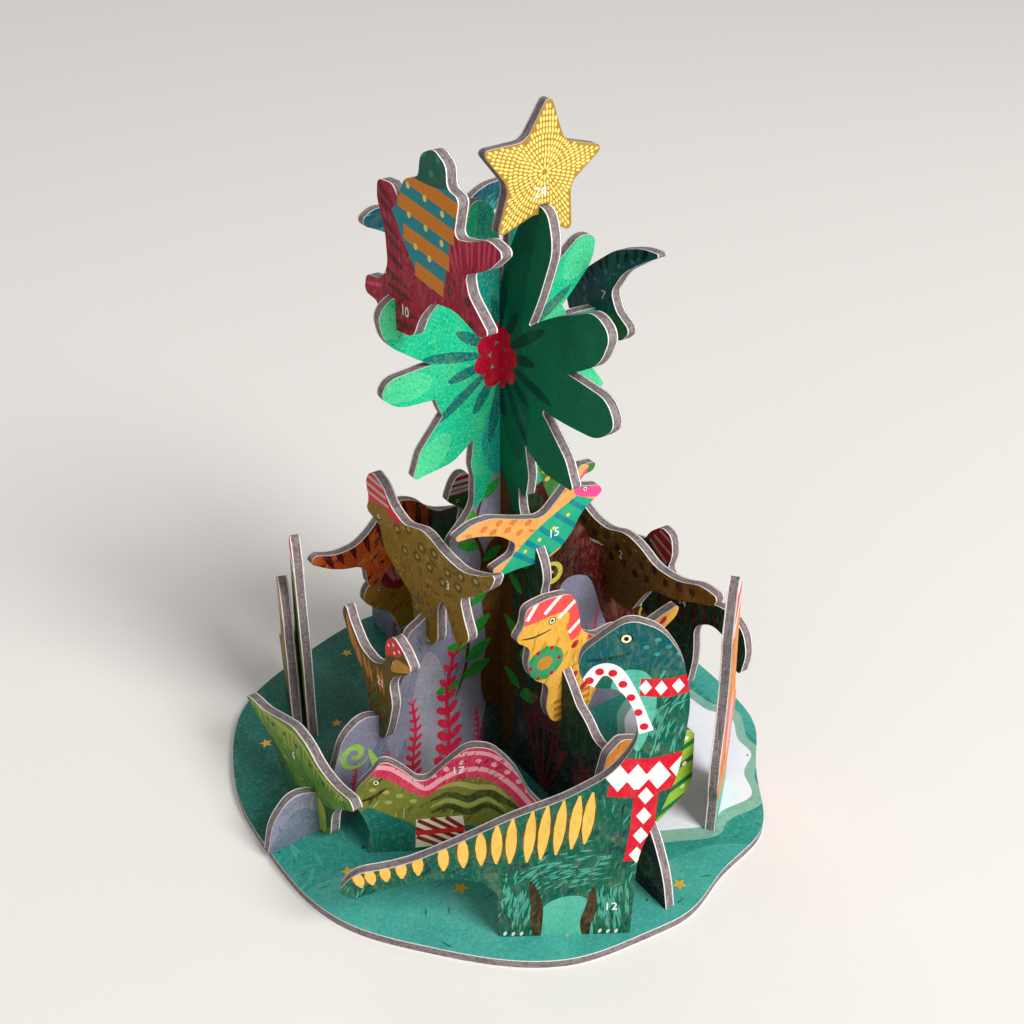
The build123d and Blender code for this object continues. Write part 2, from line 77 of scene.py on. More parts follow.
# Inks: finish, colour as written on a screen
INKS = {
    "leaf_bright": ("leaf", "#14BE8C"), "leaf_teal": ("leaf", "#0E9C8C"),
    "leaf_light": ("leaf", "#45CC92"), "leaf_vein": ("leaf", "#0A7068"),
    # Painted shade: the leaf inks with the shade finish are darker copies of the leaf inks, for the
    # right upright's face
    "leaf_dark": ("shade", "#056647"), "leaf_shade": ("shade", "#07563F"),
    "leaf_deep": ("shade", "#033A33"), "vine_green": ("leaf", "#229A38"),
    "vine_stem": ("bark", "#4E2A12"), "lime": ("leaf", "#9CCB5F"),
    "berry": ("cloth", "#B50D2F"),
    "rock_grey": ("rock", "#87879A"), "rock_blue": ("rock", "#6C7686"),
    "rock_pale": ("rock", "#A3A1AC"),
    # Painted shade: the dark and the deep rock inks are darker rock for the crease by the trunk and for
    # the right upright's face
    "rock_dark": ("rock", "#2A3A34"), "rock_deep": ("rock", "#1B2522"),
    "bark": ("bark", "#5A3A1A"), "maroon": ("hide", "#4E0C14"),
    "maroon_deep": ("hide", "#37090F"), "fern_red": ("cloth", "#DA2448"),
    # Painted shade: the dark fern ink is a darker copy of the red fern ink, for the right upright
    "fern_dark": ("cloth", "#7C1A22"), "swirl_yellow": ("leaf", "#C9C94A"),
    "ground": ("ground", "#2F9384"), "ground_deep": ("ground", "#1B6A5B"),
    "ground_light": ("ground", "#43A698"), "snow": ("snow", "#EEF3F9"),
    "snow_rim": ("ground", "#8ABBA8"), "gold": ("gold", "#A98135"),
    "gold_dash": ("gold", "#F4D973"), "gold_star": ("gold", "#E3AE2F"),
    "hat_red": ("cloth", "#D8262F"), "hat_coral": ("cloth", "#F0514E"),
    "hat_white": ("cloth", "#F3EEE9"), "hat_grey": ("cloth", "#B9AFA5"),
    "olive": ("hide", "#8A681A"), "olive_dark": ("hide", "#5E4A18"),
    "olive_light": ("hide", "#B3902F"), "shadow_grey": ("hide", "#5B564F"),
    "wing_red": ("hide", "#9C0B33"), "wing_maroon": ("hide", "#620C1D"),
    "wing_shine": ("hide", "#CB3358"), "parcel_orange": ("cloth", "#D07A0E"),
    "parcel_teal": ("cloth", "#00838C"),
    "bow_green": ("cloth", "#0A5B49"), "bow_light": ("cloth", "#1C8468"),
    "teal_night": ("hide", "#0C3B44"), "teal_ink": ("hide", "#0B5560"),
    "teal_shine": ("hide", "#2A8F92"), "teal_black": ("hide", "#08191D"),
    "wing_orange": ("hide", "#EFA55A"), "wing_amber": ("hide", "#D07C34"),
    "pencil": ("hide", "#2B2A14"), "parcel_mint": ("cloth", "#27A77E"),
    "parcel_yellow": ("cloth", "#E6D066"), "pink": ("cloth", "#EC4C8C"),
    "pink_light": ("cloth", "#F5A3CC"), "raptor_yellow": ("hide", "#EDB045"),
    "raptor_ochre": ("hide", "#C88A2C"), "stripe_red": ("hide", "#B41F2C"),
    "wreath": ("cloth", "#3D9B6C"),
    "claw": ("snow", "#E9E2D4"), "lizard": ("hide", "#5C8A2F"),
    "lizard_light": ("hide", "#A6B044"), "lizard_deep": ("hide", "#2C5A2B"),
    "apple": ("cloth", "#94BC3B"), "apple_dot": ("cloth", "#137038"),
    "apple_ribbon": ("cloth", "#DB8D3D"), "horn_brown": ("hide", "#BC7424"),
    "forest": ("hide", "#16402A"), "forest_light": ("hide", "#2E6E43"),
    "forest_deep": ("hide", "#0A2015"), "spot_brown": ("hide", "#7C5216"),
    "tail_orange": ("hide", "#A64518"), "tail_spot": ("hide", "#3A120E"),
    "sail_red": ("hide", "#D3325A"), "sail_pink": ("hide", "#F2A3AF"),
    "sail_deep": ("hide", "#A41C3E"), "body_olive": ("hide", "#74782F"),
    "body_light": ("hide", "#A3A456"), "body_spot": ("hide", "#3C471B"),
    "cream": ("cloth", "#E9E4BC"), "dot_red": ("cloth", "#8F1F30"),
    "ribbon_red": ("cloth", "#D42A20"), "neck_teal": ("hide", "#06585A"),
    "neck_green": ("hide", "#065C49"), "neck_light": ("hide", "#45A08A"),
    "neck_deep": ("hide", "#083B3C"), "ochre": ("hide", "#ECBE58"),
    "soft_teal": ("ground", "#58B89F"),
    "umber": ("hide", "#3B2B16"), "scarf_red": ("cloth", "#D4152E"),
    "eye_white": ("snow", "#F2E7B8"), "eye_black": ("hide", "#0B0D0A"),
    "tall_orange": ("hide", "#E28A3C"), "tall_green": ("hide", "#3E7D3B"),
    "violet": ("hide", "#6B4E8A"), "violet_light": ("hide", "#A58BC4"),
    "egg": ("snow", "#E8DFC6"), "number_white": ("snow", "#F4F4F2"),
}

# Finish: mottle size in 1/m, mottle, fine speckle size, speckle, streak, roughness, bump,
# colour of the light blotches
FINISHES = {
    "leaf": (110, 0.32, 2300, 0.80, 0.08, 0.50, 0.15, "#D3EC6C"),
    "shade": (110, 0.40, 2300, 0.35, 0.10, 0.55, 0.15, "#46B67E"),
    "rock": (130, 0.38, 1900, 0.50, 0.04, 0.55, 0.25, "#D9D6E2"),
    "bark": (160, 0.45, 1500, 0.45, 0.25, 0.55, 0.25, "#B98A4E"),
    "hide": (230, 0.26, 2200, 0.16, 0.24, 0.50, 0.15, "#E8DDA0"),
    "cloth": (260, 0.12, 2400, 0.08, 0.06, 0.40, 0.10, "#FFF3E2"),
    "ground": (70, 0.44, 1200, 0.30, 0.22, 0.45, 0.15, "#BFEBDD"),
    "snow": (90, 0.10, 1500, 0.08, 0.04, 0.45, 0.05, "#FFFFFF"),
    "gold": (300, 0.22, 2600, 0.25, 0.08, 0.35, 0.20, "#FFF0A8"),
}
FINISH_NAMES = list(FINISHES)
PRINT_GLOSS = 0.1
EDGE_BUMP = 0.5
SURFACE = {"Colour": "Color", "Roughness": "Float", "Height": "Float"}


def linear(code):
    """A written colour such as #12B583 as linear red, green and blue."""
    parts = [int(code[start:start + 2], 16) / 255 for start in (1, 3, 5)]
    return tuple(c / 12.92 if c <= 0.04045 else ((c + 0.055) / 1.055) ** 2.4 for c in parts)


def ink_words(key):
    return key.replace("_", " ").capitalize()


# Sizes and colours that a user would change

class CalendarInks(bpy.types.PropertyGroup):
    """One colour for each ink of the prints"""
    __annotations__ = {
        key: bpy.props.FloatVectorProperty(
            name=ink_words(key), description=f"Printed colour: {ink_words(key).lower()}",
            subtype="COLOR", size=3, min=0, max=1, default=linear(code))
        for key, (finish, code) in INKS.items()
    }


class CalendarSizes(bpy.types.PropertyGroup):
    """Thicknesses of paper and ink and the sizes of the ornaments"""
    paper_gap: bpy.props.FloatProperty(
        name="Glue line", description="Gap between a board and its paper",
        default=0.01 * MM, unit="LENGTH", precision=6)
    paper_thickness: bpy.props.FloatProperty(
        name="Paper", description="Thickness of the printed paper",
        default=0.05 * MM, unit="LENGTH", precision=6)
    ink_thickness: bpy.props.FloatProperty(
        name="Ink", description="Height of an ornament printed over the paper",
        default=0.02 * MM, unit="LENGTH", precision=6)
    paper_line: bpy.props.FloatProperty(
        name="Paper line", description="White line of paper along each cut edge",
        default=0.26 * MM, unit="LENGTH", precision=6)
    dash_length: bpy.props.FloatProperty(
        name="Star dash length", description="Length of one dash on the star",
        default=1.25 * MM, unit="LENGTH", precision=5)
    dash_width: bpy.props.FloatProperty(
        name="Star dash width", description="Width of one dash on the star",
        default=0.52 * MM, unit="LENGTH", precision=5)
    ground_star: bpy.props.FloatProperty(
        name="Ground star", description="Size across of a small star on the base",
        default=3.6 * MM, unit="LENGTH", precision=5)
    number_height: bpy.props.FloatProperty(
        name="Number height", description="Height of a printed number",
        default=2.2 * MM, unit="LENGTH", precision=5)


class CalendarStudio(bpy.types.PropertyGroup):
    """Board, floor and lamps"""
    board_grey: bpy.props.FloatVectorProperty(
        name="Greyboard", description="Colour of the cut edges",
        subtype="COLOR", size=3, min=0, max=1, default=linear("#8C8081"))
    board_fibre: bpy.props.FloatVectorProperty(
        name="Board fibre", description="Darker fibres in the cut edges",
        subtype="COLOR", size=3, min=0, max=1, default=linear("#463A3B"))
    paper_white: bpy.props.FloatVectorProperty(
        name="Paper edge", description="White line of paper at the cut edges",
        subtype="COLOR", size=3, min=0, max=1, default=linear("#E9E1DD"))
    floor_colour: bpy.props.FloatVectorProperty(
        name="Floor", description="Colour of the pale floor",
        subtype="COLOR", size=3, min=0, max=1, default=linear("#EFECE7"))
    key_power: bpy.props.FloatProperty(
        name="Key lamp", description="Power of the lamp in front", default=50.0, unit="POWER")
    fill_power: bpy.props.FloatProperty(
        name="Fill lamp", description="Power of the lamp at the left", default=1.8, unit="POWER")
    sky: bpy.props.FloatProperty(
        name="Room light", description="Strength of the even light around", default=0.32,
        min=0, max=1, subtype="FACTOR")


# Flat shapes in the plane of a card, in millimetres

def smooth_path(points, closed, steps=6):
    """A smooth line through all the points."""
    points = [Vector(p) for p in points]
    count = len(points)
    spans = count if closed else count - 1
    path = []
    for index in range(spans):
        if closed:
            p0, p1, p2, p3 = (points[(index + k) % count] for k in (-1, 0, 1, 2))
        else:
            p0, p1 = points[max(index - 1, 0)], points[index]
            p2, p3 = points[index + 1], points[min(index + 2, count - 1)]
        for step in range(steps):
            t = step / steps
            path.append(0.5 * (2 * p1 + (p2 - p0) * t + (2 * p0 - 5 * p1 + 4 * p2 - p3) * t * t
                               + (3 * p1 - p0 - 3 * p2 + p3) * t ** 3))
    if not closed:
        path.append(points[-1])
    return path


def stroke_loop(path, width, taper):
    """The outline of a brush stroke along a path, thin at both ends if it tapers."""
    left, right = [], []
    count = len(path)
    for index, point in enumerate(path):
        ahead = path[min(index + 1, count - 1)] - path[max(index - 1, 0)]
        if ahead.length < 1e-6:
            continue
        side = Vector((-ahead.y, ahead.x)).normalized()
        share = index / (count - 1)
        swell = math.sin(math.pi * min(max(share, 0.02), 0.98)) ** 0.6 if taper else 1
        left.append(point + side * width / 2 * swell)
        right.append(point - side * width / 2 * swell)
    return left + right[::-1]


def oval_loop(middle, width, height, turn=0.0, corners=14):
    loop = []
    for step in range(corners):
        angle = 2 * math.pi * step / corners
        x, y = width / 2 * math.cos(angle), height / 2 * math.sin(angle)
        loop.append(Vector((middle[0] + x * math.cos(turn) - y * math.sin(turn),
                            middle[1] + x * math.sin(turn) + y * math.cos(turn))))
    return loop


def spiral_path(middle, radius, turns, start, steps=40):
    """A curl that winds out from its middle."""
    path = []
    for step in range(steps + 1):
        share = step / steps
        angle = start + share * turns * 2 * math.pi
        reach = radius * (0.12 + 0.88 * share)
        path.append((middle[0] + reach * math.cos(angle), middle[1] + reach * math.sin(angle)))
    return path


def hatch_loops(card, width, length, turn, sway, count, seed, about=None, reach=None):
    """Short brush strokes in a direction that sways, all over a card or thicker about a spot."""
    chance = random.Random(seed)
    low, high = card.low, card.high
    loops = []
    for _ in range(count):
        if about:
            heart = card.spot(about)
            middle = Vector((chance.gauss(heart.x, reach[0]), chance.gauss(heart.y, reach[1])))
        else:
            middle = Vector((chance.uniform(low[0], high[0]), chance.uniform(low[1], high[1])))
        wave = math.sin(middle.x * 0.16 + seed) + math.cos(middle.y * 0.13)
        angle = math.radians(turn + sway * wave / 2) + chance.uniform(-0.12, 0.12)
        half = length * chance.uniform(0.5, 1) / 2
        way = Vector((math.cos(angle), math.sin(angle)))
        side = Vector((-way.y, way.x)) * width * chance.uniform(0.5, 1) / 2
        loops.append([middle - way * half, middle - side, middle + way * half * 0.2 - side,
                      middle + way * half, middle + side, middle - way * half * 0.4 + side])
    return loops


class Card:
    """One board's own directions, the outline of its printed face and its corners."""

    def __init__(self, node, across, up, facing):
        self.node = node
        self.across, self.up, self.facing = Vector(across), Vector(up), Vector(facing)
        board = bmesh.new()
        board.from_mesh(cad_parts[node].data)
        bmesh.ops.remove_doubles(board, verts=board.verts, dist=1e-6)
        depths = [v.co.dot(self.facing) for v in board.verts]
        self.front, self.back = max(depths), min(depths)
        on_front = [f for f in board.faces if f.normal.dot(self.facing) > 0.999
                    and abs(f.calc_center_median().dot(self.facing) - self.front) < 2e-5]
        chosen = set(on_front)
        follow = {}
        for face in on_front:
            for corner in face.loops:
                others = [f for f in corner.edge.link_faces if f in chosen]
                if len(others) == 1:
                    follow[corner.vert.index] = corner.link_loop_next.vert.index
        flat = {v.index: (v.co.dot(self.across) / MM, v.co.dot(self.up) / MM)
                for v in board.verts}
        self.loops = []
        while follow:
            start = next(iter(follow))
            loop, at = [], start
            while at in follow:
                loop.append(flat[at])
                at = follow.pop(at)
            self.loops.append(loop)
        board.free()
        floor = BOARD + 0.05 if node in STANDING_TURNS else -math.inf
        points = np.array([p for loop in self.loops for p in loop if p[1] > floor])
        self.low, self.high = points.min(0), points.max(0)
        if node in STANDING_TURNS:
            self.low[1] = BOARD
        self.figure = node in FIGURES
        self.outline = np.array(max(self.loops, key=lambda l: np.ptp(np.array(l)[:, 0])))

    def spot(self, point):
        """A point of a design as millimetres in the card's plane."""
        if self.figure:
            return Vector((self.low[0] + point[0] / 100 * (self.high[0] - self.low[0]),
                           self.low[1] + point[1] / 100 * (self.high[1] - self.low[1])))
        lift = 0 if self.node == "base_plate" else BOARD
        return Vector((point[0], point[1] + lift))

    def matrix(self, depth):
        """From the card's plane, raised to a depth along its facing, to the scene."""
        turn = Matrix((self.across, self.up, self.facing)).transposed().to_4x4()
        return Matrix.Translation(self.facing * depth) @ turn @ Matrix.Diagonal((MM, MM, MM, 1))


def fields_of(card, design):
    """The fields of a design as (ink, loop) pairs, first at the bottom."""
    fields = []
    for kind, ink, *rest in design:
        if kind == "fill":
            low, high = card.low - 5, card.high + 5
            fields.append((ink, [Vector(p) for p in (
                (low[0], low[1] - 5), (high[0], low[1] - 5), (high[0], high[1]), (low[0], high[1]))]))
        elif kind == "area":
            fields.append((ink, smooth_path([card.spot(p) for p in rest[0]], True)))
        elif kind == "hatch":
            fields += [(ink, loop) for loop in hatch_loops(card, *rest)]
        elif kind == "between":
            first, second = (smooth_path([card.spot(p) for p in edge], False) for edge in rest)
            fields.append((ink, first + second[::-1]))
        elif kind == "flat":
            fields.append((ink, [card.spot(p) for p in rest[0]]))
        elif kind in ("line", "band"):
            width, points = rest
            path = smooth_path([card.spot(p) for p in points], False)
            fields.append((ink, stroke_loop(path, width, kind == "line")))
        elif kind == "curl":
            width, middle, radius, turns, start = rest
            path = [Vector(p) for p in spiral_path(card.spot(middle), radius, turns, start)]
            fields.append((ink, stroke_loop(path, width, True)))
        elif kind == "dots":
            width, height, turn, points = rest
            for p in points:
                fields.append((ink, oval_loop(card.spot(p), width, height, math.radians(turn))))
        elif kind in ("ribs", "bars"):
            width, count, first, second = rest
            one = smooth_path([card.spot(p) for p in first], False, 12)
            two = smooth_path([card.spot(p) for p in second], False, 12)
            for step in range(count):
                share = (step + 0.5) / count
                a = one[round(share * (len(one) - 1))]
                b = two[round(share * (len(two) - 1))]
                path = [a.lerp(b, k / 4) for k in range(5)]
                fields.append((ink, stroke_loop(path, width, kind == "ribs")))
    return fields


def winding(points, loop):
    """How often a closed loop goes round each point."""
    a = np.asarray(loop, float)
    b = np.roll(a, -1, 0)
    x, y = points[:, :1], points[:, 1:]
    cross = (b[:, 0] - a[:, 0]) * (y - a[:, 1]) - (x - a[:, 0]) * (b[:, 1] - a[:, 1])
    up = (a[:, 1] <= y) & (b[:, 1] > y) & (cross > 0)
    down = (a[:, 1] > y) & (b[:, 1] <= y) & (cross < 0)
    return up.sum(1) - down.sum(1)


def cut_fields(card, design):
    """The card's face cut into triangles along its outline and its fields, each with an ink."""
    fields = fields_of(card, design)
    corners, edges = [], []
    for loop in card.loops + [loop for ink, loop in fields]:
        start = len(corners)
        corners += [Vector(p) for p in loop]
        edges += [(start + k, start + (k + 1) % len(loop)) for k in range(len(loop))]
    points, _, faces, *_ = delaunay_2d_cdt(corners, edges, [], 0, 1e-4)
    points = np.array([tuple(p) for p in points])
    faces = np.array([f for f in faces if len(f) == 3])
    middles = points[faces].mean(1)
    inside = sum(winding(middles, loop) for loop in card.loops) != 0
    faces, middles = faces[inside], middles[inside]
    inks = np.zeros(len(faces), int)
    names = list(INKS)
    for ink, loop in fields:
        ring = np.array([tuple(p) for p in loop])
        near = np.where(((middles >= ring.min(0)) & (middles <= ring.max(0))).all(1))[0]
        if len(near):
            inks[near[winding(middles[near], ring) != 0]] = names.index(ink)
    return points, faces, inks


def paper_sheet(card, design, both_sides=True):
    """Printed paper on the card: a closed thin sheet on its front, and its mirror behind."""
    sizes = bpy.context.scene.calendar_sizes
    points, faces, inks = cut_fields(card, design)
    used = np.unique(faces)
    renumber = np.full(len(points), -1)
    renumber[used] = np.arange(len(used))
    points, faces = points[used], renumber[faces]
    sides = np.concatenate([faces[:, [0, 1]], faces[:, [1, 2]], faces[:, [2, 0]]])
    owners = np.tile(np.arange(len(faces)), 3)
    seen = {(a, b) for a, b in sides.tolist()}
    rim = [(a, b, o) for (a, b), o in zip(sides.tolist(), owners.tolist()) if (b, a) not in seen]
    count = len(points)
    all_points, all_faces, all_inks = [], [], []
    basis = np.array([card.across, card.up, card.facing])
    for front in ((True, False) if both_sides else (True,)):
        start = len(all_points) * count
        levels = (sizes.paper_gap, sizes.paper_gap + sizes.paper_thickness)
        for level in levels:
            depth = card.front + level if front else card.back - level
            flat = np.column_stack([points * MM, np.full(count, depth)])
            all_points.append(flat @ basis)
        top, low = start + count, start
        turn = 1 if front else -1
        all_faces += [tuple(f)[::turn] for f in (faces + top).tolist()]
        all_faces += [tuple(f)[::-turn] for f in (faces + low).tolist()]
        all_faces += [(low + a, low + b, top + b, top + a)[::turn] for a, b, o in rim]
        all_inks += inks.tolist() * 2 + [inks[o] for a, b, o in rim]
    mesh = bpy.data.meshes.new("paper_" + card.node)
    mesh.from_pydata(np.concatenate(all_points).tolist(), [], all_faces)
    dress_with_inks(mesh, np.array(all_inks))
    return add_piece("paper_" + card.node, mesh)


def dress_with_inks(mesh, inks):
    """Each face gets its ink as a colour and its finish as a material."""
    names = list(INKS)
    colours = bpy.context.scene.calendar_inks
    table = np.array([tuple(getattr(colours, name)) + (1.0,) for name in names])
    finish = np.array([FINISH_NAMES.index(INKS[name][0]) for name in names])
    used = sorted(set(finish[inks].tolist()))
    for index in used:
        mesh.materials.append(print_material(FINISH_NAMES[index]))
    slots = np.array([used.index(f) for f in finish[inks]], np.int32)
    mesh.polygons.foreach_set("material_index", slots)
    layer = mesh.color_attributes.new("Ink", "FLOAT_COLOR", "CORNER")
    totals = np.zeros(len(mesh.polygons), int)
    mesh.polygons.foreach_get("loop_total", totals)
    layer.data.foreach_set("color", np.repeat(table[inks], totals, 0).ravel())
    mesh.update()


def add_piece(name, mesh):
    """A finished mesh becomes a piece that rides on the calendar."""
    piece = bpy.data.objects.new(name, mesh)
    bpy.context.scene.collection.objects.link(piece)
    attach(piece, "root")
    return piece


# Materials

def new_group(name, kind, inputs, outputs):
    """An empty node group. Each input has its kind of socket or the number that it starts from."""
    tree = bpy.data.node_groups.new(name, kind + "NodeTree")
    for label, value in inputs.items():
        plain = isinstance(value, str)
        sort = value if plain else "Int" if isinstance(value, int) else "Float"
        made = tree.interface.new_socket(label, in_out="INPUT", socket_type="NodeSocket" + sort)
        if not plain:
            made.default_value = value
    for label, sort in outputs.items():
        tree.interface.new_socket(label, in_out="OUTPUT", socket_type="NodeSocket" + sort)
    return tree, put(tree, "NodeGroupInput", (-1100, 0)).outputs


def put(tree, kind, place=(0, 0), inputs=None, **settings):
    """One node, its settings and the values or links of its inputs."""
    node = tree.nodes.new(kind)
    node.location = place
    for key, value in settings.items():
        setattr(node, key, value)
    for key, value in (inputs or {}).items():
        if isinstance(value, bpy.types.NodeSocket):
            tree.links.new(value, node.inputs[key])
        else:
            node.inputs[key].default_value = value
    return node


def sums(tree, operation, a, b=0.0, place=(0, 0), clamp=False):
    return put(tree, "ShaderNodeMath", place, {0: a, 1: b}, operation=operation,
               use_clamp=clamp).outputs[0]


def mixed(tree, share, a, b, place=(0, 0), blend="MIX"):
    node = put(tree, "ShaderNodeMix", place, {0: share, 6: a, 7: b}, data_type="RGBA",
               blend_type=blend, clamp_factor=True)
    return node.outputs[2]


def spread(tree, value, low, high, place=(0, 0)):
    return put(tree, "ShaderNodeMapRange", place,
               {"Value": value, "From Min": low, "From Max": high}).outputs[0]


def noise(tree, vector, scale, detail, place, **more):
    return put(tree, "ShaderNodeTexNoise", place,
               {"Vector": vector, "Scale": scale, "Detail": detail, **more}).outputs


def vectors(tree, operation, inputs, place):
    return put(tree, "ShaderNodeVectorMath", place, inputs, operation=operation).outputs[0]


def painted_print():
    """Node group: an ink laid down by hand, with blotches, fine speckle and brush streaks."""
    if "painted_print" in bpy.data.node_groups:
        return bpy.data.node_groups["painted_print"]
    tree, given = new_group("painted_print", "Shader", {
        "Ink": "Color", "Light": "Color", "Position": "Vector", "Mottle Scale": 120.0,
        "Mottle": 0.4, "Speckle Scale": 1500.0, "Speckle": 0.3, "Streak": 0.2,
        "Roughness": 0.4}, SURFACE)
    blotch = noise(tree, given["Position"], given["Mottle Scale"], 5.0, (-650, 300),
                   Roughness=0.62)[0]
    fine = noise(tree, given["Position"], given["Speckle Scale"], 2.0, (-650, 0),
                 Roughness=0.7)[0]
    bend = noise(tree, given["Position"], 55.0, 1.0, (-1300, -250))["Color"]
    bend = vectors(tree, "SCALE", {0: bend, 3: 0.012}, (-1150, -250))
    bend = vectors(tree, "ADD", {0: given["Position"], 1: bend}, (-1000, -250))
    drawn = vectors(tree, "MULTIPLY", {0: bend, 1: (1300.0, 1300.0, 330.0)}, (-800, -250))
    streak = noise(tree, drawn, 1.0, 3.0, (-650, -250), Distortion=0.6)[0]
    light = mixed(tree, 0.30, given["Ink"], given["Light"], (-400, 500))
    dark = mixed(tree, 1.0, given["Ink"], (0.42, 0.42, 0.46, 1.0), (-400, 700), "MULTIPLY")
    colour = given["Ink"]
    coats = ((blotch, 0.52, 0.72, "Mottle", light), (blotch, 0.48, 0.28, "Mottle", dark),
             (streak, 0.52, 0.68, "Streak", light), (streak, 0.46, 0.32, "Streak", dark),
             (fine, 0.58, 0.66, "Speckle", light), (fine, 0.42, 0.34, "Speckle", dark))
    for step, (pattern, low, high, strength, shade) in enumerate(coats):
        row = 300 - 150 * step
        share = sums(tree, "MULTIPLY", spread(tree, pattern, low, high, (-420, row)),
                     given[strength], (-250, row))
        colour = mixed(tree, share, colour, shade, (-100 + 150 * step, 300))
    rough = sums(tree, "ADD", given["Roughness"],
                 sums(tree, "MULTIPLY", sums(tree, "SUBTRACT", blotch, 0.5, (200, 0)), 0.25,
                      (350, 0)), (500, 0), True)
    put(tree, "NodeGroupOutput", (850, 0), {"Colour": colour, "Roughness": rough, "Height": fine})
    return tree


def layered_board():
    """Node group: the cut edge of greyboard, with layers, fibres and a white paper line."""
    if "layered_board" in bpy.data.node_groups:
        return bpy.data.node_groups["layered_board"]
    tree, given = new_group("layered_board", "Shader", {
        "Place": "Vector", "Half Thickness": BOARD * MM / 2, "Paper Line": 0.26 * MM,
        "Board": "Color", "Fibre": "Color", "Paper": "Color"}, SURFACE)
    place = put(tree, "ShaderNodeSeparateXYZ", (-900, 200), {0: given["Place"]}).outputs
    long_way = vectors(tree, "MULTIPLY", {0: given["Place"], 1: (260.0, 260.0, 2600.0)},
                       (-900, -50))
    layers = noise(tree, long_way, 1.0, 3.0, (-700, -50), Roughness=0.6)[0]
    fibres = noise(tree, given["Place"], 1300.0, 4.0, (-700, -300), Roughness=0.75)[0]
    layer_mask = spread(tree, layers, 0.5, 0.64, (-480, -50))
    fibre_mask = spread(tree, fibres, 0.47, 0.62, (-480, -300))
    both = sums(tree, "MAXIMUM", sums(tree, "MULTIPLY", layer_mask, 0.75, (-300, -50)),
                sums(tree, "MULTIPLY", fibre_mask, 0.7, (-300, -300)), (-150, -100))
    colour = mixed(tree, both, given["Board"], given["Fibre"], (0, 100))
    depth = sums(tree, "ABSOLUTE", place["Z"], 0.0, (-700, 250))
    wobble = sums(tree, "MULTIPLY", sums(tree, "SUBTRACT", fibres, 0.5, (-480, 500)),
                  0.22 * MM, (-300, 500))
    start = sums(tree, "SUBTRACT", given["Half Thickness"], given["Paper Line"], (-700, 400))
    start = sums(tree, "ADD", start, wobble, (-150, 450))
    paper_mask = sums(tree, "GREATER_THAN", depth, start, (0, 400))
    colour = mixed(tree, paper_mask, colour, given["Paper"], (200, 200))
    rough = sums(tree, "ADD", sums(tree, "MULTIPLY", fibres, 0.2, (0, -200)), 0.7, (200, -200))
    height = sums(tree, "ADD", layers, fibres, (0, -350))
    put(tree, "NodeGroupOutput", (450, 0), {"Colour": colour, "Roughness": rough, "Height": height})
    return tree


def new_material(name):
    """A material with an empty node tree, its shader and its output."""
    material = bpy.data.materials.new(name)
    material.use_nodes = True
    tree = material.node_tree
    tree.nodes.clear()
    shader = put(tree, "ShaderNodeBsdfPrincipled", (300, 0))
    put(tree, "ShaderNodeOutputMaterial", (600, 0), {"Surface": shader.outputs[0]})
    return material, tree, shader


def finish_shader(tree, shader, group, bump):
    tree.links.new(group.outputs["Colour"], shader.inputs["Base Color"])
    tree.links.new(group.outputs["Roughness"], shader.inputs["Roughness"])
    relief = put(tree, "ShaderNodeBump", (50, -250), {
        "Height": group.outputs["Height"], "Strength": bump, "Distance": 0.05 * MM})
    tree.links.new(relief.outputs[0], shader.inputs["Normal"])


def print_material(finish):
    """Printed paper in one finish. Its colour is the ink stored on each face."""
    name = "print_" + finish
    if name in bpy.data.materials:
        return bpy.data.materials[name]
    mottle_scale, mottle, speckle_scale, speckle, streak, rough, bump, light = FINISHES[finish]
    material, tree, shader = new_material(name)
    ink = put(tree, "ShaderNodeAttribute", (-500, 100), attribute_name="Ink",
              attribute_type="GEOMETRY")
    place = put(tree, "ShaderNodeTexCoord", (-500, -150))
    group = put(tree, "ShaderNodeGroup", (-200, 0), node_tree=painted_print())
    tree.links.new(ink.outputs["Color"], group.inputs["Ink"])
    tree.links.new(place.outputs["Object"], group.inputs["Position"])
    group.inputs["Light"].default_value = linear(light) + (1,)
    for key, value in (("Mottle Scale", mottle_scale), ("Mottle", mottle),
                       ("Speckle Scale", speckle_scale), ("Speckle", speckle),
                       ("Streak", streak), ("Roughness", rough)):
        group.inputs[key].default_value = value
    shader.inputs["Specular IOR Level"].default_value = PRINT_GLOSS
    finish_shader(tree, shader, group, bump)
    return material


def edge_material(card):
    """Greyboard cut to the card's outline. The card's thickness lies along its own Z."""
    studio, sizes = bpy.context.scene.calendar_studio, bpy.context.scene.calendar_sizes
    material, tree, shader = new_material("greyboard_" + card.node)
    turn = Matrix((card.across, card.up, card.facing))
    middle = card.facing * (card.front + card.back) / 2
    place = put(tree, "ShaderNodeTexCoord", (-700, 0))
    turned = put(tree, "ShaderNodeMapping", (-500, 0), {
        "Vector": place.outputs["Object"], "Rotation": tuple(turn.to_euler("XYZ")),
        "Location": tuple(-(turn @ middle))})
    group = put(tree, "ShaderNodeGroup", (-200, 0), node_tree=layered_board())
    tree.links.new(turned.outputs[0], group.inputs["Place"])
    group.inputs["Half Thickness"].default_value = (card.front - card.back) / 2
    group.inputs["Paper Line"].default_value = sizes.paper_line
    group.inputs["Board"].default_value = tuple(studio.board_grey) + (1,)
    group.inputs["Fibre"].default_value = tuple(studio.board_fibre) + (1,)
    group.inputs["Paper"].default_value = tuple(studio.paper_white) + (1,)
    finish_shader(tree, shader, group, EDGE_BUMP)
    return material


# Designs. Uprights and base are in millimetres from the trunk, the rest in hundredths of the
# card's width and height. Each design starts with the ink that covers the whole card.

